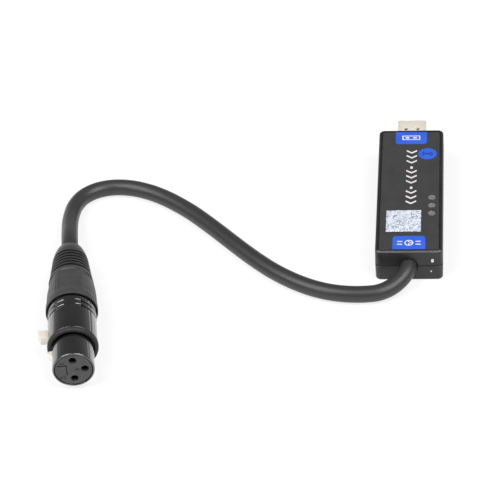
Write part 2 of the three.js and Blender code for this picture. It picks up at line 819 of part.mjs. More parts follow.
// One contact: a tube for the mating pin in front and a solder cup behind.
function socketContact() {
  const bore = contactRadius - contactWall;
  const boreEnd = contactStart + contactBoreDepth;
  const cupBore = cupRadius - cupWall;
  const contact = turned(
    [
      [0, boreEnd],
      [bore, boreEnd],
      [bore, contactStart],
      [contactRadius, contactStart],
      [contactRadius, insertEnd],
      [cupRadius, insertEnd],
      [cupRadius, cupEnd],
      [cupBore, cupEnd],
      [cupBore, cupEnd - cupDepth],
      [0, cupEnd - cupDepth],
    ],
    smallSides,
  );
  const half = span([-cupRadius, insertEnd + fitGap, 0], [cupRadius, cupEnd + overrun, cupRadius + overrun]);
  return contact.subtract(half);
}

function collarRing() {
  const end = barrelLength + collarLength;
  return turned([
    [collarBore, barrelLength],
    [collarRadius - collarChamfer, barrelLength],
    [collarRadius, barrelLength + collarChamfer],
    [collarRadius, end],
    [collarBore, end],
  ]);
}

// The latch: a bar in the shell's slot with a tooth in front, a push pad and an eye for its pin.
function latch() {
  const toothReach = latchOuter + toothHeight;
  const padFrontReach = latchOuter + padFrontHeight;
  const padRearReach = latchOuter + padRearHeight;
  const outline = [
    [latchInner, latchTip],
    [latchOuter, latchTip],
    [latchOuter, toothStart],
    [toothReach, toothStart + toothRamp],
    [toothReach, toothEnd - padRound],
    [latchOuter, toothEnd],
    [latchOuter, padStart],
    [padFrontReach - padRound, padStart],
    [padFrontReach, padStart + padRound],
    [padRearReach, padEnd - padRound],
    [padRearReach - padRound, padEnd],
    [latchOuter, padEnd],
    [latchOuter, pivotU],
    [latchInner, pivotU],
  ].map(([x, u]) => [-x, u]);
  const half = latchWidth / 2;
  const bar = prism(outline, -half, half).add(post(eyeRadius, -half, half, -pivotX, pivotU));
  return bar.subtract(post(pinRadius + runGap, -half - overrun, half + overrun, -pivotX, pivotU));
}

// A bowed leaf on the floor of the relief, under the latch.
function latchSpring() {
  const springStart = springEnd - springLength;
  const middle = springEnd - springLength / 2;
  const floor = latchReliefFloor + snugGap;
  const lower = new THREE.QuadraticBezierCurve(
    new THREE.Vector2(-floor, springStart),
    new THREE.Vector2(-floor - 2 * springBow, middle),
    new THREE.Vector2(-floor, springEnd),
  ).getPoints(cornerSteps * 2);
  const upper = lower.map((point) => new THREE.Vector2(point.x - springThickness, point.y));
  const outline = [...lower, ...upper.reverse()].map((point) => [point.x, point.y]);
  return prism(outline, -springWidth / 2, springWidth / 2);
}

// The clamp on the jacket, squeezed by the nut: a slotted cone.
function cableChuck() {
  let chuck = turned([
    [chuckBore, chuckStart],
    [chuckFrontRadius, chuckStart],
    [chuckFrontRadius, chuckShoulder],
    [chuckRearRadius, chuckEnd],
    [chuckBore, chuckEnd],
  ]);
  const half = chuckSlotWidth / 2;
  const reach = chuckFrontRadius + overrun;
  const start = chuckStart + chuckRing;
  const end = chuckEnd + overrun;
  chuck = chuck.subtract(span([-reach, start, -half], [reach, end, half]));
  return chuck.subtract(span([-half, start, -reach], [half, end, reach]));
}

// The grip flats' cutter: the space between a round ring and a flat-sided taper inside it.
function nutFlats() {
  const share = (u) => (u - nutBulgeU) / (nutEnd - nutBulgeU);
  const radiusAt = (u) =>
    u > nutBulgeU
      ? nutBulgeRadius + share(u) * (nutRearRadius - nutBulgeRadius)
      : nutBulgeRadius + ((nutBulgeU - u) / nutFrontLength) * nutFrontTaper;
  const cornerScale = 1 / Math.cos(Math.PI / flatCount);
  const flatStart = nutStart + flatFrontSetback;
  const flatEnd = nutEnd - flatRearSetback;
  const profile = [flatStart, nutBulgeU, flatEnd].map((u) => [(radiusAt(u) - flatDepth) * cornerScale, u]);
  const taper = turned([[0, flatStart], ...profile, [0, flatEnd]], flatCount);
  const outer = nutRadius + overrun;
  const ring = turned([[0, flatStart], [outer, flatStart], [outer, flatEnd], [0, flatEnd]]);
  return ring.subtract(taper.rotate([0, 180 / flatCount, 0]));
}

function bushingNut() {
  const nut = turned([
    [nutMouth, spigotStart],
    [spigotRadius, spigotStart],
    [spigotRadius, nutStart],
    [nutRadius - nutEdge, nutStart],
    [nutRadius, nutStart + nutEdge],
    [nutBulgeRadius, nutBulgeU],
    [nutRearRadius, nutEnd - nutEdge],
    [nutRearRadius - nutEdge, nutEnd],
    [nutBore, nutEnd],
    [nutBore, chuckEnd],
    [nutMouth, chuckShoulder],
  ]);
  return nut.subtract(nutFlats());
}

// The soft sleeve behind the nut: a shank inside the nut, ribs and a plain tail.
function bootSleeve() {
  const shank = nutBore - fitGap;
  const shankStart = chuckEnd + shankSetback;
  const profile = [[bootBore, shankStart], [shank, shankStart], [shank, bootStart]];
  const pitch = (bootTailStart - bootStart) / ribCount;
  const radiusAt = (u) => {
    const share = (u - bootStart) / (bootTailStart - bootStart);
    return bootFrontRadius + share * (bootRearRadius - bootFrontRadius);
  };
  for (let i = 0; i < ribCount; i++) {
    const start = bootStart + i * pitch;
    const end = start + pitch * (1 - ribGapShare);
    profile.push([radiusAt(start), start], [radiusAt(end), end]);
    profile.push([radiusAt(end) - ribDepth, end], [radiusAt(end) - ribDepth, start + pitch]);
  }
  profile.push([bootRearRadius, bootTailStart], [bootTailRadius, bootEnd], [bootBore, bootEnd]);
  return turned(profile);
}

// Which of the jacket's cores serves a contact.
const coreOf = (contact) => (wireCount - contact) % wireCount;

// A wire from its solder cup back to the jacket's end in the connector.
function plugWire(i) {
  const [cupX, cupZ] = socketPlaces[i];
  const [x, z] = wirePlace(coreOf(i));
  const start = cupEnd + fitGap;
  const end = jacketStart - fitGap;
  const points = [
    [cupX, start, cupZ],
    [cupX, start + wireLead, cupZ],
    [x, end - wireLead, z],
    [x, end, z],
  ];
  return tube(points, wireRadius, wireSides, wireSteps);
}

function connector() {
  const group = new THREE.Group();
  group.position.set(faceX, faceY, nutRadius);
  group.rotation.z = connectorTurn;
  group.add(piece("xlr_shell", connectorShell(), looks.shell));
  group.add(piece("xlr_insert", connectorInsert(), looks.insert));
  socketPlaces.forEach(([x, z], i) => {
    const contact = piece(`xlr_contact_${i + 1}`, socketContact(), looks.gold);
    contact.position.set(x, 0, z);
    group.add(contact);
    const look = { color: looks.wires[coreOf(i)], roughness: 0.5, metalness: 0 };
    group.add(piece(`plug_wire_${i + 1}`, plugWire(i), look));
  });
  group.add(piece("collar_ring", collarRing(), looks.collar));
  group.add(piece("xlr_latch", latch(), looks.steel));
  const half = pinLength / 2;
  group.add(piece("latch_pin", post(pinRadius, -half, half, -pivotX, pivotU), looks.steel));
  group.add(piece("latch_spring", latchSpring(), looks.steel));
  group.add(piece("cable_chuck", cableChuck(), looks.white));
  group.add(piece("bushing_nut", bushingNut(), looks.nut));
  group.add(piece("boot_sleeve", bootSleeve(), looks.nut));
  const jacket = laid(post(cordRadius, jacketStart, bootEnd, 0, 0, smallSides));
  group.add(piece("plug_jacket_end", jacket, looks.jacket));
  return group;
}

function lead() {
  const path = new THREE.CatmullRomCurve3(cordRoute.map((point) => new THREE.Vector3(...point)));
  const steps = Math.round(path.getLength() / cordStep);
  return piece("dmx_cable", tube(cordRoute, cordRadius, cordSides, steps), looks.jacket);
}

const usbDmxInterface = new THREE.Group();
usbDmxInterface.add(interfaceCase(), connector(), lead());

export default usbDmxInterface;
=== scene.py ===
"""A usb dmx interface: a slim plastic case with a usb plug, and a short lead to a round connector.

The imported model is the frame. Fine surfaces stand for the solids that show, and the solids inside
keep their meshes and get finishes of their own. Sizes are in millimetres and become metres where a
mesh is made. The plug points along +Y and +Z is up, as in the frame.
"""

import json
import logging
import math
from collections.abc import Callable, Sequence
from dataclasses import dataclass
from enum import Enum

import bmesh
import bpy
import numpy as np
from mathutils import Matrix, Vector


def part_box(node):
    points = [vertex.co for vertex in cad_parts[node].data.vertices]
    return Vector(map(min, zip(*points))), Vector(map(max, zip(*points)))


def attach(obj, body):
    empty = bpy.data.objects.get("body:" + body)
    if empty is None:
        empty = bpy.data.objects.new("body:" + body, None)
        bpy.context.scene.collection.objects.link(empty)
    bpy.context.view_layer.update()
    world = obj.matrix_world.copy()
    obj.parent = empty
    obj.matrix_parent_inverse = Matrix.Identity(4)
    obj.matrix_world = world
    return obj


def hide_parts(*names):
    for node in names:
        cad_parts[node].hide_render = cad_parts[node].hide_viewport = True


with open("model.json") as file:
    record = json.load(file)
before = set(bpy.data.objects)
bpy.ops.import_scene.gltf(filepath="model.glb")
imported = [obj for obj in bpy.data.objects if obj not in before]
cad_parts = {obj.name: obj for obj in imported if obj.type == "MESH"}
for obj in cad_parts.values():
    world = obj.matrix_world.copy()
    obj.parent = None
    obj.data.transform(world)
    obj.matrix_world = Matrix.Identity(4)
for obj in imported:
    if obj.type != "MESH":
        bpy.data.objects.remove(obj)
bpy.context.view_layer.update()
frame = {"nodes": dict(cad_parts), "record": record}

MM = 0.001  # metres in a millimetre
SHARP = math.radians(32)  # a fold past this angle is drawn as an edge
OVERRUN = 1.0  # how far a cutting shape passes the face that it cuts
SLIVER = 0.01  # how far two shapes reach into each other where they meet
MERGED = 1e-6  # points nearer than this are one
CRISP = 0.1  # how far from a corner the rounding of a crisp edge starts
CORNER_POINTS = 6  # of a profile's rounded corner
BEVEL_STEPS = 3
ROOT_BODY = "root"
LATCH_BODY = "latch"

Span = tuple[float, float]
Point = tuple[float, float, float]
Colour = tuple[float, float, float, float]
Profile = tuple[Point, ...]
Box = tuple[Point, Point]
Row = tuple[float, ...]
Bars = tuple[tuple[Row, tuple[Span, ...]], ...]
RadiusRule = Callable[[np.ndarray, np.ndarray, np.ndarray], np.ndarray]
Tree, Socket = bpy.types.NodeTree, bpy.types.NodeSocket
Object, Mesh = bpy.types.Object, bpy.types.Mesh

log = logging.getLogger("usb_dmx_interface")


class Closing(Enum):
    """How the first and last rings of a loft end."""

    CAPPED = "capped"  # each with a flat face
    JOINED = "joined"  # with each other, as in a wall that has an inside and an outside


class Grain(Enum):
    """The fine relief of a surface, as the inputs of its noise."""

    GRIT = {"Detail": 3.0, "Roughness": 0.65}  # moulded against a spark-eroded mould
    PEEL = {"Detail": 0.0, "Roughness": 0.4}  # the long soft ripple of lacquer and polished moulds
    DRAWN = {"Detail": 2.0, "Roughness": 0.5}  # streaks left by drawing, rolling or extruding


def linear(hex_colour: str) -> Colour:
    """Turn an sRGB colour of six hexadecimal digits into the linear one that shaders take."""
    shares = [int(hex_colour[i : i + 2], 16) / 255 for i in (0, 2, 4)]
    return (*(v / 12.92 if v <= 0.04045 else ((v + 0.055) / 1.055) ** 2.4 for v in shares), 1.0)


def add_node(
    tree: Tree, kind: str, inputs: dict, output: str | int = 0, **settings: object
) -> Socket:
    """Add a node to a tree.

    Args:
        tree: The node tree that gets it.
        kind: Its type, as Blender names it.
        inputs: The value of each named or numbered input, or the output that is linked to it.
        output: Which of its outputs is wanted.
        **settings: The node's own properties.

    Returns:
        The wanted output.
    """
    node = tree.nodes.new(kind)
    for key, value in settings.items():
        setattr(node, key, value)
    for key, value in inputs.items():
        if isinstance(value, Socket):
            tree.links.new(value, node.inputs[key])
        else:
            node.inputs[key].default_value = value
    return node.outputs[output]


@dataclass
class Painter:
    """A node tree, and the place in space that its noises are read at."""

    tree: Tree
    place: Socket

    def noise(self, size_mm: float, grain: Grain) -> Socket:
        """Noise about 0.5, whose blotches have a real size and are as rough as the grain."""
        inputs = {"Vector": self.place, "Scale": 1 / (size_mm * MM), **grain.value}
        return add_node(self.tree, "ShaderNodeTexNoise", inputs, "Fac")

    def carried(self, value: Socket, to: Span, source: Span = (0.3, 0.7)) -> Socket:
        """Carry a value from its source range over to another one, and keep it there."""
        inputs = {0: value, 1: source[0], 2: source[1], 3: to[0], 4: to[1]}
        return add_node(self.tree, "ShaderNodeMapRange", inputs)

    def times(self, first: Socket, second: Socket | float) -> Socket:
        """Multiply two values."""
        return add_node(self.tree, "ShaderNodeMath", {0: first, 1: second}, operation="MULTIPLY")

    def blend(self, share: Socket, first: Colour | Socket, second: str) -> Socket:
        """Blend a share of the second colour, in hex digits, into the first."""
        inputs = {0: share, 6: first, 7: linear(second)}
        return add_node(self.tree, "ShaderNodeMix", inputs, 2, data_type="RGBA")


@dataclass(frozen=True)
class Finish:
    """What a surface is made of and how it was made.

    Its colour wanders between two near shades over mottle_mm, its roughness with it, and a fine
    relief of grain_mm stands relief_mm high. All three are drawn in the piece's own space.
    """

    name: str
    slot: str
    colour: str
    shade: str
    roughness: float
    grain_mm: float = 0.35
    relief_mm: float = 0.008
    grain: Grain = Grain.GRIT
    mottle_mm: float = 6.0
    spread: float = 0.05
    stretch: Point = (1.0, 1.0, 1.0)
    follows_uv: bool = False
    ior: float = 1.5
    metal: float = 0.0
    sockets: tuple[tuple[str, float], ...] = ()

    def material(self) -> bpy.types.Material:
        """Build the material, or find it where an earlier piece has it.

        Returns:
            The material with its nodes.
        """
        found = bpy.data.materials.get(self.name)
        if found:
            return found
        made = bpy.data.materials.new(self.name)
        made.use_nodes = True
        tree = made.node_tree
        shader = tree.nodes["Principled BSDF"].inputs
        for socket, value in (("IOR", self.ior), ("Metallic", self.metal), *self.sockets):
            shader[socket].default_value = value
        space = add_node(tree, "ShaderNodeTexCoord", {}, "UV" if self.follows_uv else "Object")
        place = add_node(tree, "ShaderNodeMapping", {"Vector": space, "Scale": self.stretch})
        painter = Painter(tree, place)
        tree.links.new(self.colour_at(painter), shader["Base Color"])
        tree.links.new(self.roughness_at(painter), shader["Roughness"])
        tree.links.new(self.relief_at(painter), shader["Normal"])
        return made

    def colour_at(self, painter: Painter) -> Socket:
        """The two shades, blended by a soft noise."""
        share = painter.carried(painter.noise(self.mottle_mm, Grain.DRAWN), (0, 1))
        return painter.blend(share, linear(self.colour), self.shade)

    def roughness_at(self, painter: Painter) -> Socket:
        """The roughness, which wanders by its spread to each side."""
        ends = self.roughness - self.spread, self.roughness + self.spread
        return painter.carried(painter.noise(self.mottle_mm / 3, Grain.GRIT), ends)

    def relief_at(self, painter: Painter) -> Socket:
        """The normal that the fine relief gives.

        Args:
            painter: The material's tree.

        Returns:
            The normal.
        """
        height = painter.noise(self.grain_mm, self.grain)
        inputs = {"Height": height, "Strength": 1.0, "Distance": self.relief_mm * MM}
        return add_node(painter.tree, "ShaderNodeBump", inputs)


@dataclass(frozen=True)
class SpeckledPaper(Finish):
    """Coated paper printed all over with small square dots at random."""

    dot: str = "7D88A2"
    dot_mm: float = 0.5
    dot_shares: Span = (0.51, 0.55)
    patch_mm: float = 2.6
    patch_shares: Span = (0.38, 0.62)
    density: Span = (0.35, 1.0)

    def colour_at(self, painter: Painter) -> Socket:
        """The paper's own shades with the dots over them, fainter in patches.

        Args:
            painter: The material's tree.

        Returns:
            The colour.
        """
        tree, step = painter.tree, (self.dot_mm * MM, self.dot_mm * MM, 1.0)
        links = {0: painter.place, 1: step}
        cell = add_node(tree, "ShaderNodeVectorMath", links, operation="SNAP")
        chance = add_node(tree, "ShaderNodeTexWhiteNoise", {"Vector": cell}, "Value")
        printed = painter.carried(chance, (1, 0), self.dot_shares)
        patch = painter.noise(self.patch_mm, Grain.GRIT)
        share = painter.times(printed, painter.carried(patch, self.density, self.patch_shares))
        return painter.blend(share, super().colour_at(painter), self.dot)


@dataclass(frozen=True)
class PaintedHighlightPlastic(Finish):
    """Moulded plastic with a painted highlight: a paler line along its rounded top edge at its near end.
    """

    painted_highlight: str = "6E6C6D"
    heights_mm: Point = (13.5, 13.9, 14.3)  # where the painted highlight line starts, peaks and ends
    near_mm: Span = (-46.9, -46.5)
    patch_mm: float = 1.4
    patch_shares: Span = (0.35, 0.65)
    strength: Span = (0.6, 1.0)

    def colour_at(self, painter: Painter) -> Socket:
        """The plastic's shades with the painted highlight line along the edge, stronger in patches.

        Args:
            painter: The material's tree.

        Returns:
            The colour.
        """
        axes = add_node(painter.tree, "ShaderNodeSeparateXYZ", {0: painter.place}).node.outputs
        low, peak, high = (height * MM for height in self.heights_mm)
        near = tuple(y * MM for y in self.near_mm)
        patch = painter.noise(self.patch_mm, Grain.GRIT)
        share = painter.carried(patch, self.strength, self.patch_shares)
        # This share places the painted highlight: up the top edge's rounding, at the near end only.
        for axis, to, source in (
            ("Z", (0, 1), (low, peak)), ("Z", (1, 0), (peak, high)), ("Y", (1, 0), near),
        ):
            share = painter.times(share, painter.carried(axes[axis], to, source))
        return painter.blend(share, super().colour_at(painter), self.painted_highlight)


# Each finish starts with its name, slot, two shades and roughness, and its grain's size and height.
# Moulded ABS off a spark-eroded mould: black, its even satin grit greyed by what it faces.
# A thin paler line, a painted highlight, runs along the near end's top edge.
CASE_PLASTIC = PaintedHighlightPlastic(
    "moulded_abs", "case_plastic", "1E1D1E", "252425", 0.36, 0.32, ior=1.48
)
# Screen-printed polycarbonate film: an even charcoal, smoother than the case.
LABEL_FILM = Finish("printed_film", "label_print", "353536", "3A3A3B", 0.38, 0.5, 0.003, ior=1.48)
# Opaque screen inks: flat, dense and a little uneven where the squeegee lifted.
BLUE_INK, WHITE_INK, DARK_INK = (
    Finish(f"{name}_screen_ink", "label_print", *shades, 0.3, 0.002)
    for name, *shades in (
        ("blue", "2654C6", "305ECC", 0.45), ("white", "DDD8D7", "CFCBCB", 0.5),
        ("dark", "1C2644", "171F38", 0.5),
    )
)
# Coated label paper with a printed speckle: the brightest spot on the top, faintly blue.
LABEL_PAPER = SpeckledPaper("speckled_label", "label_print", "D6DADF", "CCD1D9", 0.4, 0.6, 0.002)
# Frosted light pipe: milky grey, so that it reads as a soft grey dot with no light behind it.
LENS = Finish(
    "frosted_lens", "lens_plastic", "767577", "69686A", 0.32, 0.4, 0.003, mottle_mm=1.2,
    ior=1.49, sockets=(("Subsurface Weight", 0.25), ("Subsurface Scale", 0.001)),
)
# Glass-epoxy laminate under solder mask: deep green and glossy, with the weave just showing.
BOARD = Finish(
    "solder_mask", "board_laminate", "1A5B33", "144A29", 0.3, 0.6, 0.01, Grain.DRAWN,
    ior=1.55, sockets=(("Coat Weight", 0.3),),
)
# Phosphor under clear resin: a pale yellow pad with a wet gloss.
LED_RESIN = Finish(
    "led_resin", "led_resin", "F1ECC8", "E6DFA8", 0.2, grain=Grain.PEEL, mottle_mm=0.6
)
# Transfer-moulded epoxy: near black with a matte, slightly sandy skin.
CHIP = Finish("moulded_epoxy", "chip_epoxy", "1C1C1E", "242426", 0.55, 0.15, 0.006)
# Tin-plated deep-drawn cans: a grey metal with faint draw marks.
CAN = Finish(
    "tinned_can", "can_metal", "B9B8B4", "A3A29F", 0.3, 0.5, 0.004, Grain.DRAWN,
    stretch=(1.0, 1.0, 0.15), metal=1.0,
)
# Rolled strip under matte tin: its dull skin scatters, so it stays pale where a mirror goes dark.
PLUG_STEEL = Finish(
    "matte_tinned_strip", "plug_steel", "EAE4D5", "E1DAC9", 0.4, 0.25, 0.002, Grain.DRAWN,
    stretch=(1.0, 0.08, 1.0), metal=0.3,
)
# Natural nylon: a translucent-looking warm white with a waxy skin.
NYLON = Finish(
    "natural_nylon", "white_nylon", "E9E7DD", "DEDBCF", 0.42, 0.4, 0.004,
    ior=1.53, sockets=(("Subsurface Weight", 0.15), ("Subsurface Scale", 0.001)),
)
# Flash-gold over nickel: yellow and bright, a little scuffed by mating.
GOLD = Finish(
    "flash_gold", "contact_gold", "E3BE63", "CFA64B", 0.25, 0.2, 0.002, Grain.DRAWN,
    stretch=(1.0, 0.1, 1.0), metal=1.0,
)
# Extruded soft PVC jacket: dull black with a faint lengthwise draw, drawn coarse to show.
JACKET = Finish(
    "extruded_jacket", "cable_jacket", "2C2B2C", "343334", 0.4, 0.5, 0.012, Grain.DRAWN,
    mottle_mm=9.0, stretch=(0.12, 1.0, 1.0), follows_uv=True,
)
# Extruded wire insulation: smooth PVC in the cores' colours.
WIRE_RED, WIRE_WHITE, WIRE_BLACK = (
    Finish(f"{name}_insulation", f"wire_{name}", *shades, 0.4, grain=Grain.PEEL)
    for name, *shades in (
        ("red", "B03028", "9E2A23"), ("white", "E8E8E8", "DCDCDC"), ("black", "202020", "282828"),
    )
)
# Black chrome over die-cast zinc: dark where it faces the dark, white where it faces the table.
SHELL = Finish(
    "black_chromed_zinc", "shell_lacquer", "6E6D6F", "757476", 0.14, 1.6, 0.003, Grain.PEEL,
    spread=0.02, metal=1.0, sockets=(("Coat Weight", 0.5), ("Coat Roughness", 0.06)),
)
# Glass-filled nylon insert: a dull warm grey with a slightly fibrous skin.
INSERT = Finish(
    "filled_nylon", "insert_plastic", "3B393B", "434143", 0.5, 0.3, 0.012, mottle_mm=1.6
)
# Numerals moulded proud of the insert, coloured darker than it.
NUMERAL = Finish("dark_numeral", "insert_plastic", "141314", "1A191A", 0.5, 0.2, 0.01)
# Moulded collar: the blackest, dullest ring on the connector.
COLLAR = Finish("matte_collar", "collar_plastic", "2C2A2B", "312F30", 0.6, 0.25, 0.01, ior=1.4)
# Stamped spring steel under matte nickel: pale, soft and faintly brushed.
LATCH_METAL = Finish(
    "matte_nickel", "latch_metal", "EBE5DA", "E2DBCF", 0.42, 0.3, 0.003, Grain.DRAWN,
    stretch=(1.0, 0.1, 1.0), metal=0.3,
)
# Semi-gloss moulded nylon nut: smooth enough to show each grip flat as a soft band of light.
NUT = Finish(
    "semigloss_nylon", "nut_plastic", "373737", "3F3F3F", 0.46, 0.9, 0.004, Grain.PEEL,
    mottle_mm=3.0, ior=1.43,
)
# Thermoplastic rubber boot: a soft, slightly dusty black.
BOOT = Finish("soft_rubber", "boot_rubber", "2C2B2C", "353435", 0.38, 0.3, 0.01, mottle_mm=2.0)

# The finishes of the solids that keep their meshes, by the starts of their names.
INNER_FINISHES = (
    (BOARD, ("main_board", "radio_board")),
    (CAN, ("radio_shield", "crystal_can", "capacitor", "xlr_contact")),
    (LED_RESIN, ("status_led",)),
    (CHIP, ("interface_chip", "line_driver_chip", "voltage_regulator")),
    (NYLON, ("usb_plug_tongue", "cable_tie", "cable_chuck")),
    (GOLD, ("usb_contact",)),
    (WIRE_RED, ("board_wire_1", "plug_wire_1")),
    (WIRE_WHITE, ("board_wire_2", "plug_wire_3")),
    (WIRE_BLACK, ("board_wire_3", "plug_wire_2")),
    (LATCH_METAL, ("latch_pin", "latch_spring")),
)


@dataclass(frozen=True)
class Place:
    """A sub-assembly's own axes: an origin in millimetres and a turn about the vertical."""

    origin: Point = (0.0, 0.0, 0.0)
    turn: float = 0.0

    def matrix(self) -> Matrix:
        """The turn and the move, in millimetres."""
        return Matrix.Translation(self.origin) @ Matrix.Rotation(self.turn, 4, "Z")


@dataclass
class Surface:
    """Points in millimetres, and faces as lists of point numbers."""

    points: np.ndarray
    faces: list[list[int]]

    def moved(self, x: float = 0.0, y: float = 0.0, z: float = 0.0) -> "Surface":
        """The same surface, moved."""
        return Surface(self.points + np.array([x, y, z]), self.faces)

    def upright(self) -> "Surface":
        """The same surface stood on end, so that what ran along +Y runs along +Z."""
        x, y, z = self.points.T
        return Surface(np.stack([x, -z, y], axis=-1), self.faces)


def joined(parts: Sequence[Surface]) -> Surface:
    """Put surfaces together as one, with the points and faces of all.

    Args:
        parts: The surfaces.

    Returns:
        The one surface.
    """
    starts = np.cumsum([0, *(len(part.points) for part in parts)]).tolist()
    moved = [(face, start) for part, start in zip(parts, starts) for face in part.faces]
    faces = [[corner + start for corner in face] for face, start in moved]
    return Surface(np.concatenate([part.points for part in parts]), faces)


def loft(rings: np.ndarray, closing: Closing = Closing.CAPPED) -> Surface:
    """Skin a stack of rings: each quad joins two neighbours on one ring to the same two on the next.

    Args:
        rings: Points as an array of ring, place on the ring, and x, y, z.
        closing: How the first and last rings end.

    Returns:
        The closed surface.
    """
    rows, columns = rings.shape[:2]
    across = np.arange(columns)
    onward = np.roll(across, -1)
    first = np.arange(rows if closing is Closing.JOINED else rows - 1)[:, None] * columns
    second = (first + columns) % (rows * columns)
    corners = [first + across, first + onward, second + onward, second + across]
    faces = np.stack(corners, axis=-1).reshape(-1, 4).tolist()
    if closing is Closing.CAPPED:
        faces += [across[::-1].tolist(), (across + (rows - 1) * columns).tolist()]
    return Surface(rings.reshape(-1, 3), faces)


def rounded_rectangle(
    width: float, length: float, corner: float, steps: int = 10, at: Span = (0.0, 0.0)
) -> np.ndarray:
    """Trace a rectangle with round corners: four quarter circles about the corners' middles.

    Args:
        width: Size along x.
        length: Size along y.
        corner: Radius of the corners.
        steps: Number of chords in each corner.
        at: Its middle.

    Returns:
        Points [x, y], counterclockwise.
    """
    quarter = np.repeat(np.arange(4), steps + 1)
    angle = (quarter + np.tile(np.linspace(0, 1, steps + 1), 4)) * math.pi / 2
    side_x = np.where((quarter == 0) | (quarter == 3), 1, -1)
    side_y = np.where(quarter < 2, 1, -1)
    x = side_x * (width / 2 - corner) + corner * np.cos(angle)
    y = side_y * (length / 2 - corner) + corner * np.sin(angle)
    return np.stack([x, y], axis=-1) + np.array(at)


def at_height(line: np.ndarray, z: float) -> np.ndarray:
    """Lift a flat line to a height."""
    return np.column_stack([line, np.full(len(line), z)])


def stacked(size: Span, corner: float, levels: Sequence[Span], steps: int = 10) -> np.ndarray:
    """Stack rounded rectangles, each pulled in by the inset of its level.

    Args:
        size: The full width and length.
        corner: Radius of the corners where the inset is 0.
        levels: Each ring's height and inset.
        steps: Number of chords in each corner.

    Returns:
        Rings for a loft.
    """
    rings = []
    for z, inset in levels:
        width, length = (side - 2 * inset for side in size)
        rings.append(at_height(rounded_rectangle(width, length, corner - inset, steps), z))
    return np.array(rings)


def rounded(corners: Sequence[Point], closed: bool = True) -> np.ndarray:
    """Round a line's corners: each becomes a parabola that leaves and meets its two sides.

    Args:
        corners: Each corner's two coordinates and how far from it the rounding starts.
        closed: Whether the last corner goes on to the first.

    Returns:
        The points of the rounded line.
    """
    data = np.array(corners, float)
    middle, radius = data[:, :2], data[:, 2:]
    before, after = np.roll(middle, 1, axis=0), np.roll(middle, -1, axis=0)
    if not closed:
        before[0], after[-1] = middle[0], middle[-1]
    ends = []
    for other in (before, after):
        side = other - middle
        reach = np.linalg.norm(side, axis=1, keepdims=True)
        ends.append(middle + side / np.maximum(reach, MERGED) * np.minimum(radius, reach / 2))
    t = np.linspace(0, 1, CORNER_POINTS)[None, :, None]
    start, stop = (end[:, None] for end in ends)
    curve = (1 - t) ** 2 * start + 2 * t * (1 - t) * middle[:, None] + t**2 * stop
    line = curve.reshape(-1, 2)
    return line[np.linalg.norm(line - np.roll(line, 1, axis=0), axis=1) > MERGED]


def lathe(
    corners: Sequence[Point],
    sides: int,
    closing: Closing = Closing.JOINED,
    rule: RadiusRule | None = None,
) -> Surface:
    """Turn a profile about the Y axis: x = r sin a, y = u, z = r cos a, for all a round the axis.

    Args:
        corners: The profile's corners: u along the axis, r from it, and where their rounding starts.
        sides: Number of places round the axis.
        closing: Joined where the profile closes on itself, and capped where its ends get faces.
        rule: Gives the radius from u, the angle and the profile's radius, as whole arrays.

    Returns:
        The closed surface.
    """
    profile = rounded(corners, closing is Closing.JOINED)
    angle = np.linspace(0, 2 * math.pi, sides, endpoint=False)[None, :]
    u, r = profile[:, :1] + 0 * angle, profile[:, 1:] + 0 * angle
    if rule:
        r = rule(u, angle + 0 * u, r)
    return loft(np.stack([r * np.sin(angle), u, r * np.cos(angle)], axis=-1), closing)


def rod(radius: float, low: float, high: float, sides: int, edge: float = 0.0) -> Surface:
    """A round bar along +Y with its ends' edges rounded by edge.

    Args:
        radius: Its radius.
        low: Where it starts along the axis.
        high: Where it ends.
        sides: Number of sides.
        edge: How far its edges are rounded.

    Returns:
        The bar.
    """
    face = radius - edge - SLIVER
    corners = [(low, face, 0), (low, radius, edge), (high, radius, edge), (high, face, 0)]
    return lathe(corners, sides, Closing.CAPPED)


def plate(outline: np.ndarray, low: float, high: float, edge: float = 0.0) -> Surface:
    """Raise a flat outline into a plate with upright sides and a small chamfer round its top.

    Args:
        outline: Points [x, y], counterclockwise.
        low: Height of the underside.
        high: Height of the top.
        edge: Width and height of the chamfer, pulled in towards the outline's middle.

    Returns:
        The plate.
    """
    away = outline - outline.mean(axis=0)
    inner = outline - away / np.linalg.norm(away, axis=1, keepdims=True) * edge
    levels = [(outline, low), (outline, high - edge)] + ([(inner, high)] if edge else [])
    return loft(np.array([at_height(line, z) for line, z in levels]))


def box(low: Point, high: Point) -> Surface:
    """A plain box by its lowest and highest corners, for cutting."""
    (x0, y0, z0), (x1, y1, z1) = low, high
    return plate(np.array([(x1, y0), (x1, y1), (x0, y1), (x0, y0)], float), z0, z1)


def add_object(name: str, data: bpy.types.ID) -> Object:
    """Add an object to the scene that shows the data.

    Args:
        name: The object's name.
        data: What it shows.

    Returns:
        The object.
    """
    made = bpy.data.objects.new(name, data)
    bpy.context.scene.collection.objects.link(made)
    return made


def settle(mesh: Mesh, place: Matrix, weld: float = 0.0) -> None:
    """Carry a mesh from millimetres in its own axes to the scene, its faces pointing out.

    Args:
        mesh: The mesh.
        place: The turn and the move from its own axes, in millimetres.
        weld: Points nearer than this, in metres, become one.
    """
    mesh.transform(Matrix.Scale(MM, 4) @ place)
    shape = bmesh.new()
    shape.from_mesh(mesh)
    if weld:
        bmesh.ops.remove_doubles(shape, verts=shape.verts, dist=weld)
    bmesh.ops.recalc_face_normals(shape, faces=shape.faces)
    shape.to_mesh(mesh)
    shape.free()


def bare_object(name: str, surface: Surface, place: Place) -> Object:
    """Make an object at the origin, with its place in its mesh.

    Args:
        name: The object's name.
        surface: Its points and faces.
        place: The axes that the points are counted in.

    Returns:
        The object.
    """
    mesh = bpy.data.meshes.new(name)
    mesh.from_pydata(surface.points.tolist(), [], surface.faces)
    settle(mesh, place.matrix())
    return add_object(name, mesh)


def worked_out(made: Object) -> Mesh:
    """The mesh of an object with its modifiers worked out."""
    view = bpy.context.evaluated_depsgraph_get()
    return bpy.data.meshes.new_from_object(made.evaluated_get(view))


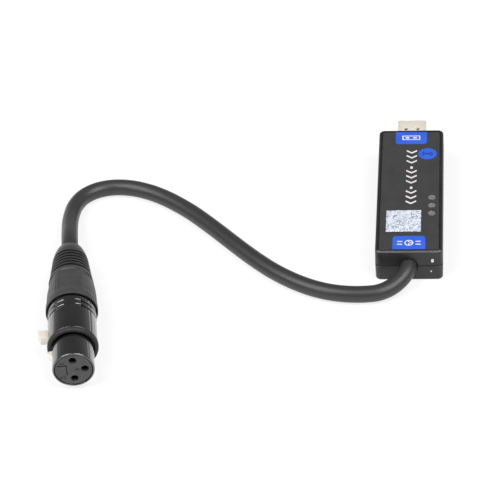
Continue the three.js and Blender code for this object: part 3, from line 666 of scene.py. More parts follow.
def dress(made: Object, finish: Finish, body: str = ROOT_BODY, replaced: Sequence[str] = ()) -> None:
    """Smooth a piece up to its sharp folds, give it its material and let it ride its body.

    Args:
        made: The piece.
        finish: What it is made of.
        body: The body that it moves with.
        replaced: The solids that it stands for.
    """
    mesh = made.data
    mesh.polygons.foreach_set("use_smooth", np.ones(len(mesh.polygons), bool))
    mesh.set_sharp_from_angle(angle=SHARP)
    mesh.materials.clear()
    mesh.materials.append(finish.material())
    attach(made, body)
    if replaced:
        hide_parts(*replaced)
    log.info("%s: %d faces on %s", made.name, len(mesh.polygons), body)


@dataclass
class Piece:
    """A piece to be made: its surface, what is cut from it, and the solids that it stands for."""

    name: str
    surface: Surface
    finish: Finish
    place: Place
    cutters: Sequence[Surface] = ()
    replaces: Sequence[str] = ()
    body: str = ROOT_BODY
    bevel: float = 0.0

    def make(self) -> Object:
        """Build, cut and dress the piece.

        Returns:
            The finished object.
        """
        made = bare_object(self.name, self.surface, self.place)
        tools = [bare_object("cutter", cutter, self.place) for cutter in self.cutters]
        for tool in tools:
            cut = made.modifiers.new("cut", "BOOLEAN")
            cut.operation, cut.solver, cut.object = "DIFFERENCE", "EXACT", tool
        if self.bevel:
            edge = made.modifiers.new("edge", "BEVEL")
            edge.width, edge.segments, edge.limit_method = self.bevel * MM, BEVEL_STEPS, "ANGLE"
        if made.modifiers:
            settled = worked_out(made)
            made.modifiers.clear()
            made.data = settled
            settled.name = self.name
        for tool in tools:
            bpy.data.objects.remove(tool)
        dress(made, self.finish, self.body, self.replaces)
        return made


def box_mm(node: str) -> tuple[np.ndarray, np.ndarray]:
    """The lowest and highest corners of a solid, in millimetres."""
    low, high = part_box(node)
    return np.array(low) / MM, np.array(high) / MM


@dataclass
class Camera:
    """The photograph's viewpoint, fitted to the case's and the connector's edges."""

    aim: Point = (-64.19, -27.86, 0.0)
    elevation: float = math.radians(38.04)
    azimuth: float = math.radians(6.2)
    roll: float = math.radians(4.24)
    distance: float = 1040.0
    focal_pixels: float = 2589.6
    image_pixels: float = 500.0
    sensor: float = 36.0
    clip: Span = (0.05, 50.0)  # in metres

    def make(self) -> None:
        """Create the camera: it looks from the distance along the view line, turned by its roll."""
        flat = Vector((-math.sin(self.azimuth), math.cos(self.azimuth), 0))
        forward = flat * math.cos(self.elevation) - Vector((0, 0, math.sin(self.elevation)))
        level = forward.cross(Vector((0, 0, 1))).normalized()
        upward = level.cross(forward)
        right = level * math.cos(self.roll) - upward * math.sin(self.roll)
        top = level * math.sin(self.roll) + upward * math.cos(self.roll)
        axes = Matrix((right, top, -forward)).transposed().to_4x4()
        data = bpy.data.cameras.new("photo_camera")
        data.sensor_fit, data.sensor_width = "HORIZONTAL", self.sensor
        data.lens = self.sensor * self.focal_pixels / self.image_pixels
        data.clip_start, data.clip_end = self.clip
        made = add_object("photo_camera", data)
        eye = (Vector(self.aim) - forward * self.distance) * MM
        made.matrix_world = Matrix.Translation(eye) @ axes
        bpy.context.scene.camera = made


@dataclass
class Lead:
    """The free lead: a jacket that leaves the case, lies on the table and rises to the connector."""

    connector: Place
    diameter: float = 6.65
    sides: int = 40
    steps: int = 9  # between two points of the route
    exit_height: float = 7.0
    outlet_u: float = 69.0
    route: tuple[Point, ...] = (
        (0.0, -44.0, 7.0), (-0.1, -46.8, 6.97), (-0.5, -49.6, 6.8), (-2.9, -53.8, 5.6),
        (-6.8, -57.4, 4.3), (-11.6, -59.75, 3.6), (-17.0, -60.45, 3.37), (-23.6, -60.35, 3.37),
        (-30.4, -59.15, 3.37), (-36.8, -56.85, 3.37), (-42.8, -53.65, 3.37), (-48.8, -49.55, 3.37),
        (-54.6, -44.75, 3.37), (-60.3, -39.15, 3.37), (-65.9, -33.15, 3.37), (-71.4, -26.85, 3.37),
        (-77.0, -20.35, 3.37), (-82.7, -13.95, 3.37), (-88.5, -7.75, 3.37), (-94.6, -2.15, 3.37),
        (-101.1, 2.95, 3.37), (-108.2, 7.15, 3.37), (-115.8, 9.85, 3.37), (-123.3, 10.35, 3.37),
        (-129.9, 8.35, 3.37), (-134.9, 3.85, 3.45), (-137.5, -2.45, 3.7), (-138.1, -9.6, 4.5),
        (-137.8, -16.8, 5.9), (-137.0, -23.6, 7.5), (-136.1, -30.2, 9.1), (-135.3, -35.6, 10.0),
        (-134.57, -40.6, 10.15),
    )

    def centreline(self) -> np.ndarray:
        """Run a centripetal Catmull-Rom curve through the route and into the connector.

        Between two points the curve is the cubic that meets both with tangents worked out from
        their neighbours, each weighed by the square root of the distance to it.

        Returns:
            Points along the middle of the lead.
        """
        points = np.array([*self.route, self.connector.matrix() @ Vector((0, self.outlet_u, 0))])
        run = np.concatenate([[2 * points[0] - points[1]], points, [2 * points[-1] - points[-2]]])
        gap = np.sqrt(np.linalg.norm(np.diff(run, axis=0), axis=1))[:, None]
        before, here, there, after = run[:-3], run[1:-2], run[2:-1], run[3:]
        g0, g1, g2 = gap[:-2], gap[1:-1], gap[2:]
        leave = g1 * ((here - before) / g0 - (there - before) / (g0 + g1) + (there - here) / g1)
        reach = g1 * ((there - here) / g1 - (after - here) / (g1 + g2) + (after - there) / g2)
        t = np.linspace(0, 1, self.steps, endpoint=False)[None, :, None]
        here, there, leave, reach = (a[:, None] for a in (here, there, leave, reach))
        bend = 3 * (there - here) - 2 * leave - reach
        twist = 2 * (here - there) + leave + reach
        curve = here + leave * t + bend * t**2 + twist * t**3
        return np.concatenate([curve.reshape(-1, 3), points[-1:]])

    def rings(self, line: np.ndarray) -> np.ndarray:
        """Carry a circle along the line, square to it: line + r (side cos a + upward sin a).

        Args:
            line: The lead's centreline.

        Returns:
            Rings for a loft.
        """
        along = np.gradient(line, axis=0)
        along /= np.linalg.norm(along, axis=1, keepdims=True)
        side = np.cross(along, (0.0, 0.0, 1.0))
        side /= np.linalg.norm(side, axis=1, keepdims=True)
        upward = np.cross(side, along)
        angle = np.linspace(0, 2 * math.pi, self.sides, endpoint=False)[None, :, None]
        circle = side[:, None] * np.cos(angle) + upward[:, None] * np.sin(angle)
        return line[:, None] + self.diameter / 2 * circle

    def map_surface(self, mesh: Mesh, line: np.ndarray) -> None:
        """Lay a map on the jacket in metres: along the line, and round the circle.

        Args:
            mesh: The lead's mesh, whose faces are still in the order of its rings.
            line: The lead's centreline, in millimetres.
        """
        reach = np.concatenate([[0], np.cumsum(np.linalg.norm(np.diff(line, axis=0), axis=1))])
        row, column = np.divmod(np.arange((len(line) - 1) * self.sides), self.sides)
        girth = math.pi * self.diameter / self.sides
        u = np.stack([reach[row], reach[row], reach[row + 1], reach[row + 1]], axis=-1)
        v = np.stack([column, column + 1, column + 1, column], axis=-1) * girth
        uv = np.stack([u, v], axis=-1).reshape(-1, 2) * MM
        values = np.zeros((len(mesh.loops), 2), np.float32)
        values[: len(uv)] = uv
        mesh.uv_layers.new(name="jacket_map").data.foreach_set("uv", values.ravel())

    def make(self) -> Object:
        """Make the lead and let it ride the root body.

        Returns:
            The lead.
        """
        line = self.centreline()
        made = bare_object("lead_jacket", loft(self.rings(line)[:, ::-1]), Place())
        self.map_surface(made.data, line)
        dress(made, JACKET, replaced=["dmx_cable", "lead_jacket_end", "plug_jacket_end"])
        return made

    def declare(self) -> None:
        """Work out the lead's centreline and the case's near face, and use neither.
        """
        line = self.centreline()
        case_face = box_mm("lower_case")[0][1]


@dataclass
class InterfaceCase:
    """The two-part case with its printed film and its light windows."""

    width: float
    length: float
    height: float
    place: Place
    wall: float = 1.6
    corner: float = 2.3
    edge: float = 0.75
    edge_steps: int = 9
    draft: float = 0.1
    seam_height: float = 7.0
    seam_gap: float = 0.3
    seam_chamfer: float = 0.14
    lip_height: float = 1.2
    lip_thickness: float = 0.75
    fit: float = 0.3
    film_thickness: float = 0.35
    film_sink: float = 0.05
    film_inset: float = 1.6
    film_edge: float = 0.06
    bed_inset: float = 1.25
    opening_depth: float = 4.8
    hole_radius: float = 3.55
    hole_sides: int = 64
    mouth_half: Span = (6.3, 2.55)
    window_radius: float = 1.6
    window_hole: float = 1.72
    window_x: float = 8.76
    window_ys: Point = (-15.85, -10.65, -5.45)
    window_sides: int = 48
    flange_thickness: float = 0.7
    light_rod: float = 1.1
    dome: Profile = ((-0.1, 1.6, 0.25), (0.0, 0.8, 0.4), (0.0, 0.05, 0.0))  # heights from the top

    @property
    def film_top(self) -> float:
        """The height of the film's face, a little below the case's rim."""
        return self.height - self.film_sink

    @property
    def film_end(self) -> float:
        """The film's edge along y, from the middle of the case."""
        return self.length / 2 - self.film_inset

    def slab(self, name: str, levels: Sequence[Span], finish: Finish, node: str, *cut: Surface) -> Piece:
        """A piece with the case's outline, pulled in at each height by the inset of its level."""
        surface = loft(stacked((self.width, self.length), self.corner, levels))
        return Piece(name, surface, finish, self.place, cut, [node])

    def edge_levels(self, face: float, towards: int) -> list[Span]:
        """Levels of an edge rounding: a quarter circle from the flat face round to the side.

        Args:
            face: Height of the flat face.
            towards: 1 where the side lies above the face, and -1 where it lies below.

        Returns:
            Heights and insets, from the face to the side.
        """
        angle = np.linspace(0, math.pi / 2, self.edge_steps)
        z = face + towards * self.edge * (1 - np.cos(angle))
        inset = self.draft + self.edge * (1 - np.sin(angle))
        return list(zip(z.tolist(), inset.tolist()))

    def openings(self) -> list[Surface]:
        """The lead's round hole and the plug's mouth, as cutting shapes.

        Returns:
            The hole and the mouth.
        """
        depth, far, (half_x, half_z) = self.opening_depth, self.length / 2, self.mouth_half
        hole = rod(self.hole_radius, -far - depth, -far + depth, self.hole_sides)
        mouth = box((-half_x, far - depth, -half_z), (half_x, far + depth, half_z))
        return [opening.moved(z=self.seam_height) for opening in (hole, mouth)]

    def window_holes(self, low: float) -> list[Surface]:
        """Cutting shapes for the light windows, from a height up through the top.

        Args:
            low: The height that they start below.

        Returns:
            A round bar for each window.
        """
        ends = [(z, self.window_hole, 0) for z in (low - OVERRUN, self.height + OVERRUN)]
        hole = lathe(ends, self.window_sides, Closing.CAPPED).upright()
        return [hole.moved(self.window_x, y) for y in self.window_ys]

    def lower_half(self) -> Piece:
        """The lower half: floor, walls with a chamfer at the seam, and the lip inside the seam.

        Returns:
            The piece.
        """
        rim = self.seam_height - self.seam_gap / 2
        lip, lip_top = self.wall - self.lip_thickness, self.seam_height + self.lip_height
        levels = self.edge_levels(0, 1)
        levels += [(rim - self.seam_chamfer, 0), (rim, self.seam_chamfer), (rim, lip)]
        levels += [(lip_top, lip), (lip_top, self.wall), (self.wall, self.wall + self.draft)]
        return self.slab("case_lower_half", levels, CASE_PLASTIC, "lower_case", *self.openings())

    def upper_half(self) -> Piece:
        """The upper half: walls, rounded top edge and the shallow bed that holds the film.

        Returns:
            The piece.
        """
        rim, ceiling = self.seam_height + self.seam_gap / 2, self.height - self.wall
        rebate = self.wall - self.lip_thickness - self.fit
        rebate_top = self.seam_height + self.lip_height + self.fit
        levels = [(z, self.bed_inset) for z in (self.height - self.film_thickness, self.height)]
        levels += self.edge_levels(self.height, -1)
        levels += [(rim + self.seam_chamfer, 0), (rim, self.seam_chamfer), (rim, rebate)]
        levels += [(rebate_top, rebate), (rebate_top, self.wall), (ceiling, self.wall + self.draft)]
        cut = self.openings() + self.window_holes(ceiling)
        return self.slab("case_upper_half", levels, CASE_PLASTIC, "upper_case", *cut)

    def film(self) -> Piece:
        """The printed film in its bed, with a softened edge.

        Returns:
            The piece.
        """
        inset, low, soft = self.film_inset, self.height - self.film_thickness, self.film_edge
        levels = [(low, inset), (self.film_top - soft, inset), (self.film_top, inset + soft)]
        return self.slab("top_film", levels, LABEL_FILM, "label_film", *self.window_holes(low))

    def window(self, name: str, y: float) -> Piece:
        """A light pipe: a faintly domed lens, the flange under it and the rod to its light.

        Args:
            name: The solid that it stands for.
            y: Its place along the case.

        Returns:
            The piece.
        """
        low, high = box_mm(name)
        flange, ceiling = (high[0] - low[0]) / 2, self.height - self.wall
        shoulder, inner = ceiling - self.flange_thickness, self.light_rod
        corners = [(low[2], inner, 0), (shoulder, inner, CRISP), (shoulder, flange, CRISP)]
        corners += [(ceiling, flange, CRISP), (ceiling, self.window_radius, CRISP / 2)]
        corners += [(self.height + z, radius, reach) for z, radius, reach in self.dome]
        lens = lathe(corners, self.window_sides, Closing.CAPPED).upright().moved(self.window_x, y)
        return Piece(f"{name}_lens", lens, LENS, self.place, replaces=[name])

    def pieces(self) -> list[Piece]:
        """The halves, the film and the windows."""
        windows = [self.window(f"light_window_{i}", y) for i, y in enumerate(self.window_ys, 1)]
        return [self.lower_half(), self.upper_half(), self.film(), *windows]


def arc(radius: float, bar: float, middle: float, reach: float, steps: int = 17) -> np.ndarray:
    """Outline a bent bar about the origin: the part of a ring within reach of its middle angle.

    Args:
        radius: Radius of the bar's middle line.
        bar: The bar's thickness.
        middle: The angle of its middle.
        reach: How far it goes to each side of that angle.
        steps: Number of points on each side.

    Returns:
        Points [x, y], counterclockwise.
    """
    angle = middle + np.linspace(-reach, reach, steps)
    circle = np.stack([np.cos(angle), np.sin(angle)], axis=-1)
    return np.concatenate([(radius + bar / 2) * circle, (radius - bar / 2) * circle[::-1]])


@dataclass
class TopMarks:
    """What is printed and stuck on the film and the near end, in plain shapes.

    Each kind of bar is a width, a length, a corner and its steps, with the bars' middles.
    """

    case: InterfaceCase
    ink: float = 0.02
    tab: Point = (6.4, 8.4, 1.7)  # half its width, its length and its inner corners
    tab_middle: float = 4.032  # from the film's end to the middle of the marks on a tab
    plug_bars: Bars = (
        ((0.5, 3.0, 0.125, 2), ((-3.45, 0.0), (3.45, 0.0))),
        ((6.4, 0.5, 0.01, 1), ((0.0, -1.25), (0.0, 1.25))),
        ((1.5, 1.0, 0.1, 2), ((-1.55, 0.0), (1.55, 0.0))),
    )
    socket_bars: Bars = (
        ((0.75, 0.75, 0.36, 4), ((0.0, 0.75), (0.75, 0.0), (0.0, -0.75))),
        ((2.0, 0.6, 0.1, 2), ((-3.6, 0.9), (-3.6, -0.9), (3.6, 0.9), (3.6, -0.9))),
    )
    ring: Span = (1.55, 0.5)  # the radius and bar of the socket's ring
    ring_parts: int = 12
    ring_overlap_share: float = 1.06
    row_place: Span = (0.4, 25.6)
    row_pitch: float = 3.42
    row_count: int = 11
    row_group: int = 4  # three chevrons and a dash
    chevron: Point = (2.1, 1.5, 0.95)  # half its width, its length and its stroke
    dash_drop: float = 0.9
    dash_steps: int = 2
    disc_place: Span = (6.78, 23.9)
    disc_radius: float = 3.8
    disc_steps: int = 16
    dot: Row = (0.9, 0.9, 0.4, 6)
    arcs: tuple[Span, ...] = ((1.1, 0.36), (1.9, 0.36))
    arc_reach: float = 0.75
    label_place: Span = (-2.31, -21.09)
    label_side: float = 13.8
    label_corner: float = 0.25
    label_steps: int = 3
    label_edge: float = 0.03
    thickness: float = 0.08  # of the label and of each white speck
    drops: tuple[Row, ...] = ((9.2, 9.6, 1.1, 1.7), (8.6, 4.4, 0.6, 0.6))  # x, z, width, height
    drop_steps: int = 8

    def printed(self, name: str, finish: Finish, shapes: list[np.ndarray], layer: int = 1) -> Piece:
        """Print outlines in one ink: in layer 1 on the film itself, and in layer 2 over another ink.

        Args:
            name: The piece's name.
            finish: The ink.
            shapes: The outlines.
            layer: The layer.

        Returns:
            The piece.
        """
        base, top = (self.case.film_top + i * self.ink for i in (layer - 1, layer))
        surface = joined([plate(shape, base - SLIVER, top) for shape in shapes])
        return Piece(name, surface, finish, self.case.place)

    def tabs(self) -> list[np.ndarray]:
        """The end tabs: square against the film's ends, and round-cornered inwards.

        Returns:
            The outlines of the plug's tab and the lead's tab.
        """
        (half, length, r), edge = self.tab, self.case.film_end
        inner = edge - length
        tab = rounded([(-half, inner, r), (half, inner, r), (half, edge, 0), (-half, edge, 0)])
        return [tab, -tab]

    def row(self) -> list[np.ndarray]:
        """Groups of chevrons that point to the lead's end, each with a dash at its end.

        Returns:
            The outlines, from the plug's end on.
        """
        half, tall, bar = self.chevron
        line = [(0, 0), (half, tall), (half, tall + bar), (0, bar), (-half, tall + bar), (-half, tall)]
        dash = rounded_rectangle(bar, tall, CRISP, self.dash_steps, (0, tall - self.dash_drop))
        (x, y), pitch = self.row_place, self.row_pitch
        return [
            (np.array(line) if (i + 1) % self.row_group else dash) + np.array([x, y - pitch * i - tall])
            for i in range(self.row_count)
        ]

    def bars(self, kinds: Bars) -> list[np.ndarray]:
        """The outlines of each kind of bar at its places."""
        return [rounded_rectangle(*size, at) for size, middles in kinds for at in middles]

    def tab_marks(self) -> list[np.ndarray]:
        """White marks on the tabs: a plug's mouth at its end, a round socket at the lead's.

        Returns:
            Their outlines.
        """
        half = math.pi / self.ring_parts
        turns = 2 * half * np.arange(self.ring_parts)
        ring = [arc(*self.ring, turn, half * self.ring_overlap_share) for turn in turns]
        middle = np.array([0.0, self.case.film_end - self.tab_middle])
        plug = [shape + middle for shape in self.bars(self.plug_bars)]
        return plug + [shape - middle for shape in ring + self.bars(self.socket_bars)]

    def disc_marks(self) -> list[np.ndarray]:
        """A dot with two bent bars on each side of it.

        Returns:
            Their outlines.
        """
        sides = (0.0, math.pi)
        bent = [arc(*size, side, self.arc_reach) for side in sides for size in self.arcs]
        return [shape + np.array(self.disc_place) for shape in (rounded_rectangle(*self.dot), *bent)]

    def white_specks(self) -> Piece:
        """Two small white specks on the case's near end.

        Returns:
            The piece.
        """
        drops, thick, seam = [], self.thickness, self.case.seam_height
        for x, z, width, tall in self.drops:
            dot = rounded_rectangle(width, tall, width / 2 - SLIVER, self.drop_steps)
            lean = self.case.draft * abs(z - seam) / seam
            flat = plate(dot, 0.0, thick, thick / 2).upright()
            drops.append(flat.moved(x, lean - self.case.length / 2, z))
        return Piece("white_specks", joined(drops), WHITE_INK, self.case.place)

    def label(self) -> Piece:
        """The square paper label with its random speckle.

        Returns:
            The piece.
        """
        top, side = self.case.film_top, self.label_side
        corner = self.label_corner, self.label_steps
        square = rounded_rectangle(side, side, *corner, self.label_place)
        surface = plate(square, top - SLIVER, top + self.thickness, self.label_edge)
        return Piece("paper_label", surface, LABEL_PAPER, self.case.place)

    def pieces(self) -> list[Piece]:
        """All marks, from the film upwards.

        Returns:
            The pieces.
        """
        wide, corner = 2 * self.disc_radius, self.disc_radius - SLIVER
        disc = rounded_rectangle(wide, wide, corner, self.disc_steps, self.disc_place)
        return [
            self.printed("blue_tabs", BLUE_INK, self.tabs()),
            self.printed("blue_disc", BLUE_INK, [disc]),
            self.printed("chevron_row", WHITE_INK, self.row()),
            self.printed("tab_marks", WHITE_INK, self.tab_marks(), 2),
            self.printed("disc_marks", DARK_INK, self.disc_marks(), 2),
            self.label(),
            self.white_specks(),
        ]


@dataclass
class UsbPlug:
    """The plug's folded metal shell, with two windows above and two below."""

    case: InterfaceCase
    width: float
    height: float
    tip: float
    rear: float
    wall: float = 0.3
    corner: float = 0.65
    # From the outside round the tip to the inside: distances from the tip, and insets
    lead_in: tuple[Span, ...] = (
        (0.22, 0.0), (0.066, 0.066), (0.0, 0.165), (0.0, 0.28), (0.1, 0.3),
    )
    corner_steps: int = 6
    window: Row = (1.3, 1.5, 0.25, 4)  # width, length, corner and its steps
    window_x: float = 2.5
    window_setback: float = 6.45
    seam_half: float = 0.07
    seam_depth: float = 0.18

    def cutters(self) -> list[Surface]:
        """The windows, and the fine butt seam along the underside.

        Returns:
            The cutting shapes.
        """
        tall, y, half = self.height, self.tip - self.window_setback, self.seam_half
        holes = [rounded_rectangle(*self.window, (x, y)) for x in (-self.window_x, self.window_x)]
        low = (-half, self.rear, -tall / 2 - OVERRUN)
        seam = box(low, (half, self.tip + OVERRUN, self.seam_depth - tall / 2))
        return [*(plate(hole, -tall, tall) for hole in holes), seam]

    def piece(self) -> Piece:
        """The shell: the outside from the rear to the tip, and back along the inside.

        Returns:
            The piece.
        """
        round_tip = [(self.tip - back, inset) for back, inset in self.lead_in]
        levels = [(self.rear, 0.0), *round_tip, (self.rear, self.wall)]
        size = self.width, self.height
        rings = stacked(size, self.corner, levels, self.corner_steps)[..., [0, 2, 1]]
        x, y, z = self.case.place.origin
        place = Place((x, y + self.case.length / 2, z + self.case.seam_height))
        surface = loft(rings, Closing.JOINED)
        return Piece("usb_shell", surface, PLUG_STEEL, place, self.cutters(), ["usb_plug_shell"])


def smooth_step(value: np.ndarray, low: float, high: float) -> np.ndarray:
    """Rise from 0 at low to 1 at high along 3t² - 2t³."""
    t = np.clip((value - low) / (high - low), 0, 1)
    return t * t * (3 - 2 * t)


@dataclass
class Latch:
    """The sprung latch: a bar with a tooth, a ridged push pad and an eye.

    Its outline is a height over the connector's axis, and a place along it.
    """

    half_width: float = 1.8
    bevel: float = 0.18
    # The tip, the tooth, the bar's back and the pad's front
    front: tuple[Span, ...] = (
        (7.0, 6.2), (7.75, 6.2), (7.75, 6.8), (9.3, 9.1), (9.3, 9.7), (7.75, 10.2),
        (7.75, 18.4), (12.0, 18.4), (12.5, 18.9),
    )
    pad: Span = (18.4, 22.6)
    pad_heights: Span = (12.5, 13.3)
    ridges: Span = (19.3, 21.7)
    ridge_count: int = 13
    ridge_every: int = 3
    ridge_depth: float = 0.16
    rear: tuple[Span, ...] = ((13.3, 22.1), (12.8, 22.6), (8.15, 22.6))
    eye: Point = (7.5, 24.3, 1.25)  # height, place and radius
    eye_turns: Span = (0.25, 1.75)  # in half turns from the front
    eye_steps: int = 9
    eye_start: float = 23.4
    foot: Span = (7.0, 23.2)

    def outline(self) -> np.ndarray:
        """Trace the latch from its tip over tooth and pad to the eye, and back along its underside.

        Returns:
            Points of height and place along the axis.
        """
        ridges = np.linspace(*self.ridges, self.ridge_count)
        tops = np.interp(ridges, self.pad, self.pad_heights)
        tops = tops - self.ridge_depth * (np.arange(self.ridge_count) % self.ridge_every == 1)
        turn = np.linspace(*self.eye_turns, self.eye_steps) * math.pi - math.pi / 2
        x, u, radius = self.eye
        eye = np.stack([x + radius * np.cos(turn), u + radius * np.sin(turn)], axis=-1)
        eye = eye[eye[:, 1] > self.eye_start]
        return np.array([*self.front, *zip(tops, ridges), *self.rear, *eye, self.foot])

    def piece(self, place: Place, pin: Surface) -> Piece:
        """The latch, cut from its side outline, with the hole for its pin.

        Args:
            place: The connector's axes.
            pin: The hole, as a cutting shape.

        Returns:
            The piece.
        """
        flat = self.outline()[::-1] * np.array([-1, 1])
        surface, node = plate(flat, -self.half_width, self.half_width), ["xlr_latch"]
        return Piece("sprung_latch", surface, LATCH_METAL, place, [pin], node, LATCH_BODY, self.bevel)


@dataclass
class Connector:
    """The round connector. Lengths along its axis, u, are counted from its face.

    A profile's corners are u, the radius, and how far from the corner its rounding starts.
    """

    place: Place
    mount_depth: float = 0.4
    shell_front: Profile = ((0, 7.4, 0.1), (0, 8.0, 0.5), (14.4, 8.0, 0), (14.4, 9.4, 0.12))
    shell_rear: Profile = ((33.6, 9.4, 0.4), (33.6, 8.2, 0.1), (26.6, 8.2, 0), (26.6, 7.4, 0))
    shell_sides: int = 288
    body_radius: float = 9.4
    grooves: Span = (27.9, 30.6)
    groove_width: float = 1.6
    groove_wall: float = 0.4
    groove_depth: float = 0.95
    groove_rings: int = 80
    field_half: Span = (4.5, 5.3)  # where the deep part of a groove starts, and is whole
    field_shift: float = -0.8
    plain_half: Span = (1.2, 1.6)
    trace_share: float = 0.16
    slot: Box = ((-11.4, 4.2, -2.2), (-2.6, 25.95, 2.2))
    pin_radius: float = 0.75
    pin_halves: Span = (3.3, 3.0)  # half of the hole's length in the shell, and in the latch
    pin_sides: int = 24
    pivot: Span = (-7.5, 24.3)
    insert_radius: float = 7.1
    insert_ends: Span = (0.12, 22.0)
    insert_edge: float = 0.3
    plain_sides: int = 128  # of the insert and the boot
    socket: Profile = (
        (-0.88, 2.58, 0), (0.2, 1.5, 0), (1.52, 1.5, 0), (1.52, 2.0, 0), (23.0, 2.0, 0),
    )
    socket_sides: int = 48
    socket_places: tuple[Point, ...] = ((0, 0, 4.3), (4.3, 0, 0), (0, 0, -4.3))
    # The key's shallow recess, the lines above and beside it, and the latch's relief
    insert_cuts: tuple[Box, ...] = (
        ((-8.1, -0.88, -2.4), (-2.45, 0.15, 2.4)), ((-6.1, -0.88, 1.9), (-2.45, 1.72, 2.41)),
        ((-2.77, -0.88, -2.4), (-2.44, 1.72, 2.41)), ((-8.1, 5.6, -2.2), (-4.9, 23.0, 2.2)),
    )
    numeral_size: float = 2.7
    numeral_rise: float = 0.1
    numerals: tuple[tuple[str, float, float], ...] = (
        ("1", -4.1, 3.2), ("2", -4.2, -3.6), ("3", 1.3, -0.1),
    )
    collar_sides: int = 160
    collar_profile: Profile = (
        (13.0, 8.05, 0), (12.8, 8.35, 0.1), (12.1, 8.45, 0.1), (12.1, 9.45, 0.12),
        (12.6, 9.75, 0.2), (14.1, 9.8, 0.45), (14.1, 8.05, 0),
    )
    nut_sides: int = 360
    nut_front: Profile = (
        (27.5, 6.5, 0), (27.5, 7.9, 0.2), (35.4, 7.9, 0), (35.4, 9.45, 0), (33.9, 9.8, 0.1),
        (33.9, 10.15, 0.3),
    )
    nut_rear: Profile = ((53.5, 8.5, 0.8), (53.5, 5.0, 0.1), (43.0, 5.0, 0), (33.0, 6.5, 0))
    taper: Point = (33.9, 46.0, 53.5)
    taper_radii: Point = (10.15, 9.72, 8.45)
    taper_rings: tuple[float, float, int] = (34.5, 52.6, 90)  # the first, the last and their number
    waist: Span = (2.5, 0.12)  # how long and deep the taper dips at its bend
    facets: Span = (37.2, 51.4)
    facet_fades: Span = (1.6, 0.6)
    facet_count: int = 6
    facet_turn: float = -3.0
    facet_depth: float = 0.55
    facet_bore: float = 7.85  # what lies nearer the axis has no facets
    seam_half: float = 2.8
    seam_depth: float = 0.2
    boot_front: Profile = ((45.5, 3.4, 0), (45.5, 4.65, 0.2), (53.8, 4.65, 0), (53.8, 6.5, 0))
    boot_rear: Profile = (
        (65.6, 5.2, 0.1), (64.9, 7.1, 0.3), (68.5, 6.35, 1.2), (71.9, 5.2, 0.9), (72.6, 4.0, 0.4),
        (72.6, 3.4, 0.1),
    )
    ribs: Span = (53.8, 64.9)
    rib_radii: Span = (8.4, 7.1)
    rib_count: int = 5
    rib_depth: float = 1.9
    rib_gap_share: float = 0.46
    rib_lean: float = 0.7
    rib_rounds: Span = (0.3, 0.35)

    def groove_rule(self, u: np.ndarray, angle: np.ndarray, r: np.ndarray) -> np.ndarray:
        """Sink the grip grooves, flat below with steep walls: deep at the sides, a trace between.

        Args:
            u: Distance along the axis.
            angle: Angle from the top.
            r: Radius of the plain shell.

        Returns:
            Radius with the grooves.
        """
        across = np.abs(r * np.sin(angle) - np.where(np.cos(angle) > 0, self.field_shift, 0))
        trace = self.trace_share * smooth_step(across, *self.plain_half)
        share = np.maximum(trace, smooth_step(across, *self.field_half))
        from_edge = self.groove_width / 2 - np.abs(u - np.array(self.grooves)[:, None, None])
        wave = smooth_step(from_edge, 0.0, self.groove_wall).max(axis=0)
        outside = r > self.body_radius - CRISP / 2
        return r - self.groove_depth * share * wave * outside

    def facet_rule(self, u: np.ndarray, angle: np.ndarray, r: np.ndarray) -> np.ndarray:
        """Press grip facets into the taper: deepest in the middle, by the square of the angle aside.

        A fine groove parts each facet from the next.

        Args:
            u: Distance along the axis.
            angle: Angle from the top, near the middle of the first facet.
            r: Radius of the plain taper.

        Returns:
            Radius with the facets, which fade in and out over their ends.
        """
        half = 180 / self.facet_count
        aside = (np.degrees(angle) - self.facet_turn + half) % (2 * half) - half
        (start, stop), (fade_in, fade_out) = self.facets, self.facet_fades
        sunk = smooth_step(u, start, start + fade_in) * smooth_step(-u, -stop, -stop + fade_out)
        groove = 1 - smooth_step(half - np.abs(aside), 0.0, self.seam_half)
        depth = self.facet_depth * (1 - (aside / half) ** 2) + self.seam_depth * groove
        return r - depth * sunk * (r > self.facet_bore)

    def shell(self) -> Piece:
        """The metal shell: a thin barrel, a thicker grooved body and the latch's slot.

        Returns:
            The piece.
        """
        first, last = self.grooves[0] - self.groove_width, self.grooves[1] + self.groove_width
        field = [(u, self.body_radius, 0) for u in np.linspace(first, last, self.groove_rings)]
        corners = [*self.shell_front, *field, *self.shell_rear]
        cut = [box(*self.slot), self.pin(self.pin_halves[0])]
        surface = lathe(corners, self.shell_sides, rule=self.groove_rule)
        return Piece("lacquered_shell", surface, SHELL, self.place, cut, ["xlr_shell"])

    def pin(self, half: float) -> Surface:
        """The hole for the latch's pin, reaching half its length to each side, as a cutting shape."""
        ends = [(u, self.pin_radius, 0) for u in (-half, half)]
        return lathe(ends, self.pin_sides, Closing.CAPPED).upright().moved(*self.pivot)

    def insert(self) -> Piece:
        """The insert: a cylinder with countersunk sockets, the key slot and the latch's relief.

        Returns:
            The piece.
        """
        bore = lathe(self.socket, self.socket_sides, Closing.CAPPED)
        cut = [bore.moved(*place) for place in self.socket_places]
        cut += [box(*corners) for corners in self.insert_cuts]
        surface = rod(self.insert_radius, *self.insert_ends, self.plain_sides, self.insert_edge)
        return Piece("socket_insert", surface, INSERT, self.place, cut, ["xlr_insert"])

    def collar(self) -> Piece:
        """The soft black collar between barrel and body."""
        surface = lathe(self.collar_profile, self.collar_sides)
        return Piece("soft_collar", surface, COLLAR, self.place, replaces=["collar_ring"])

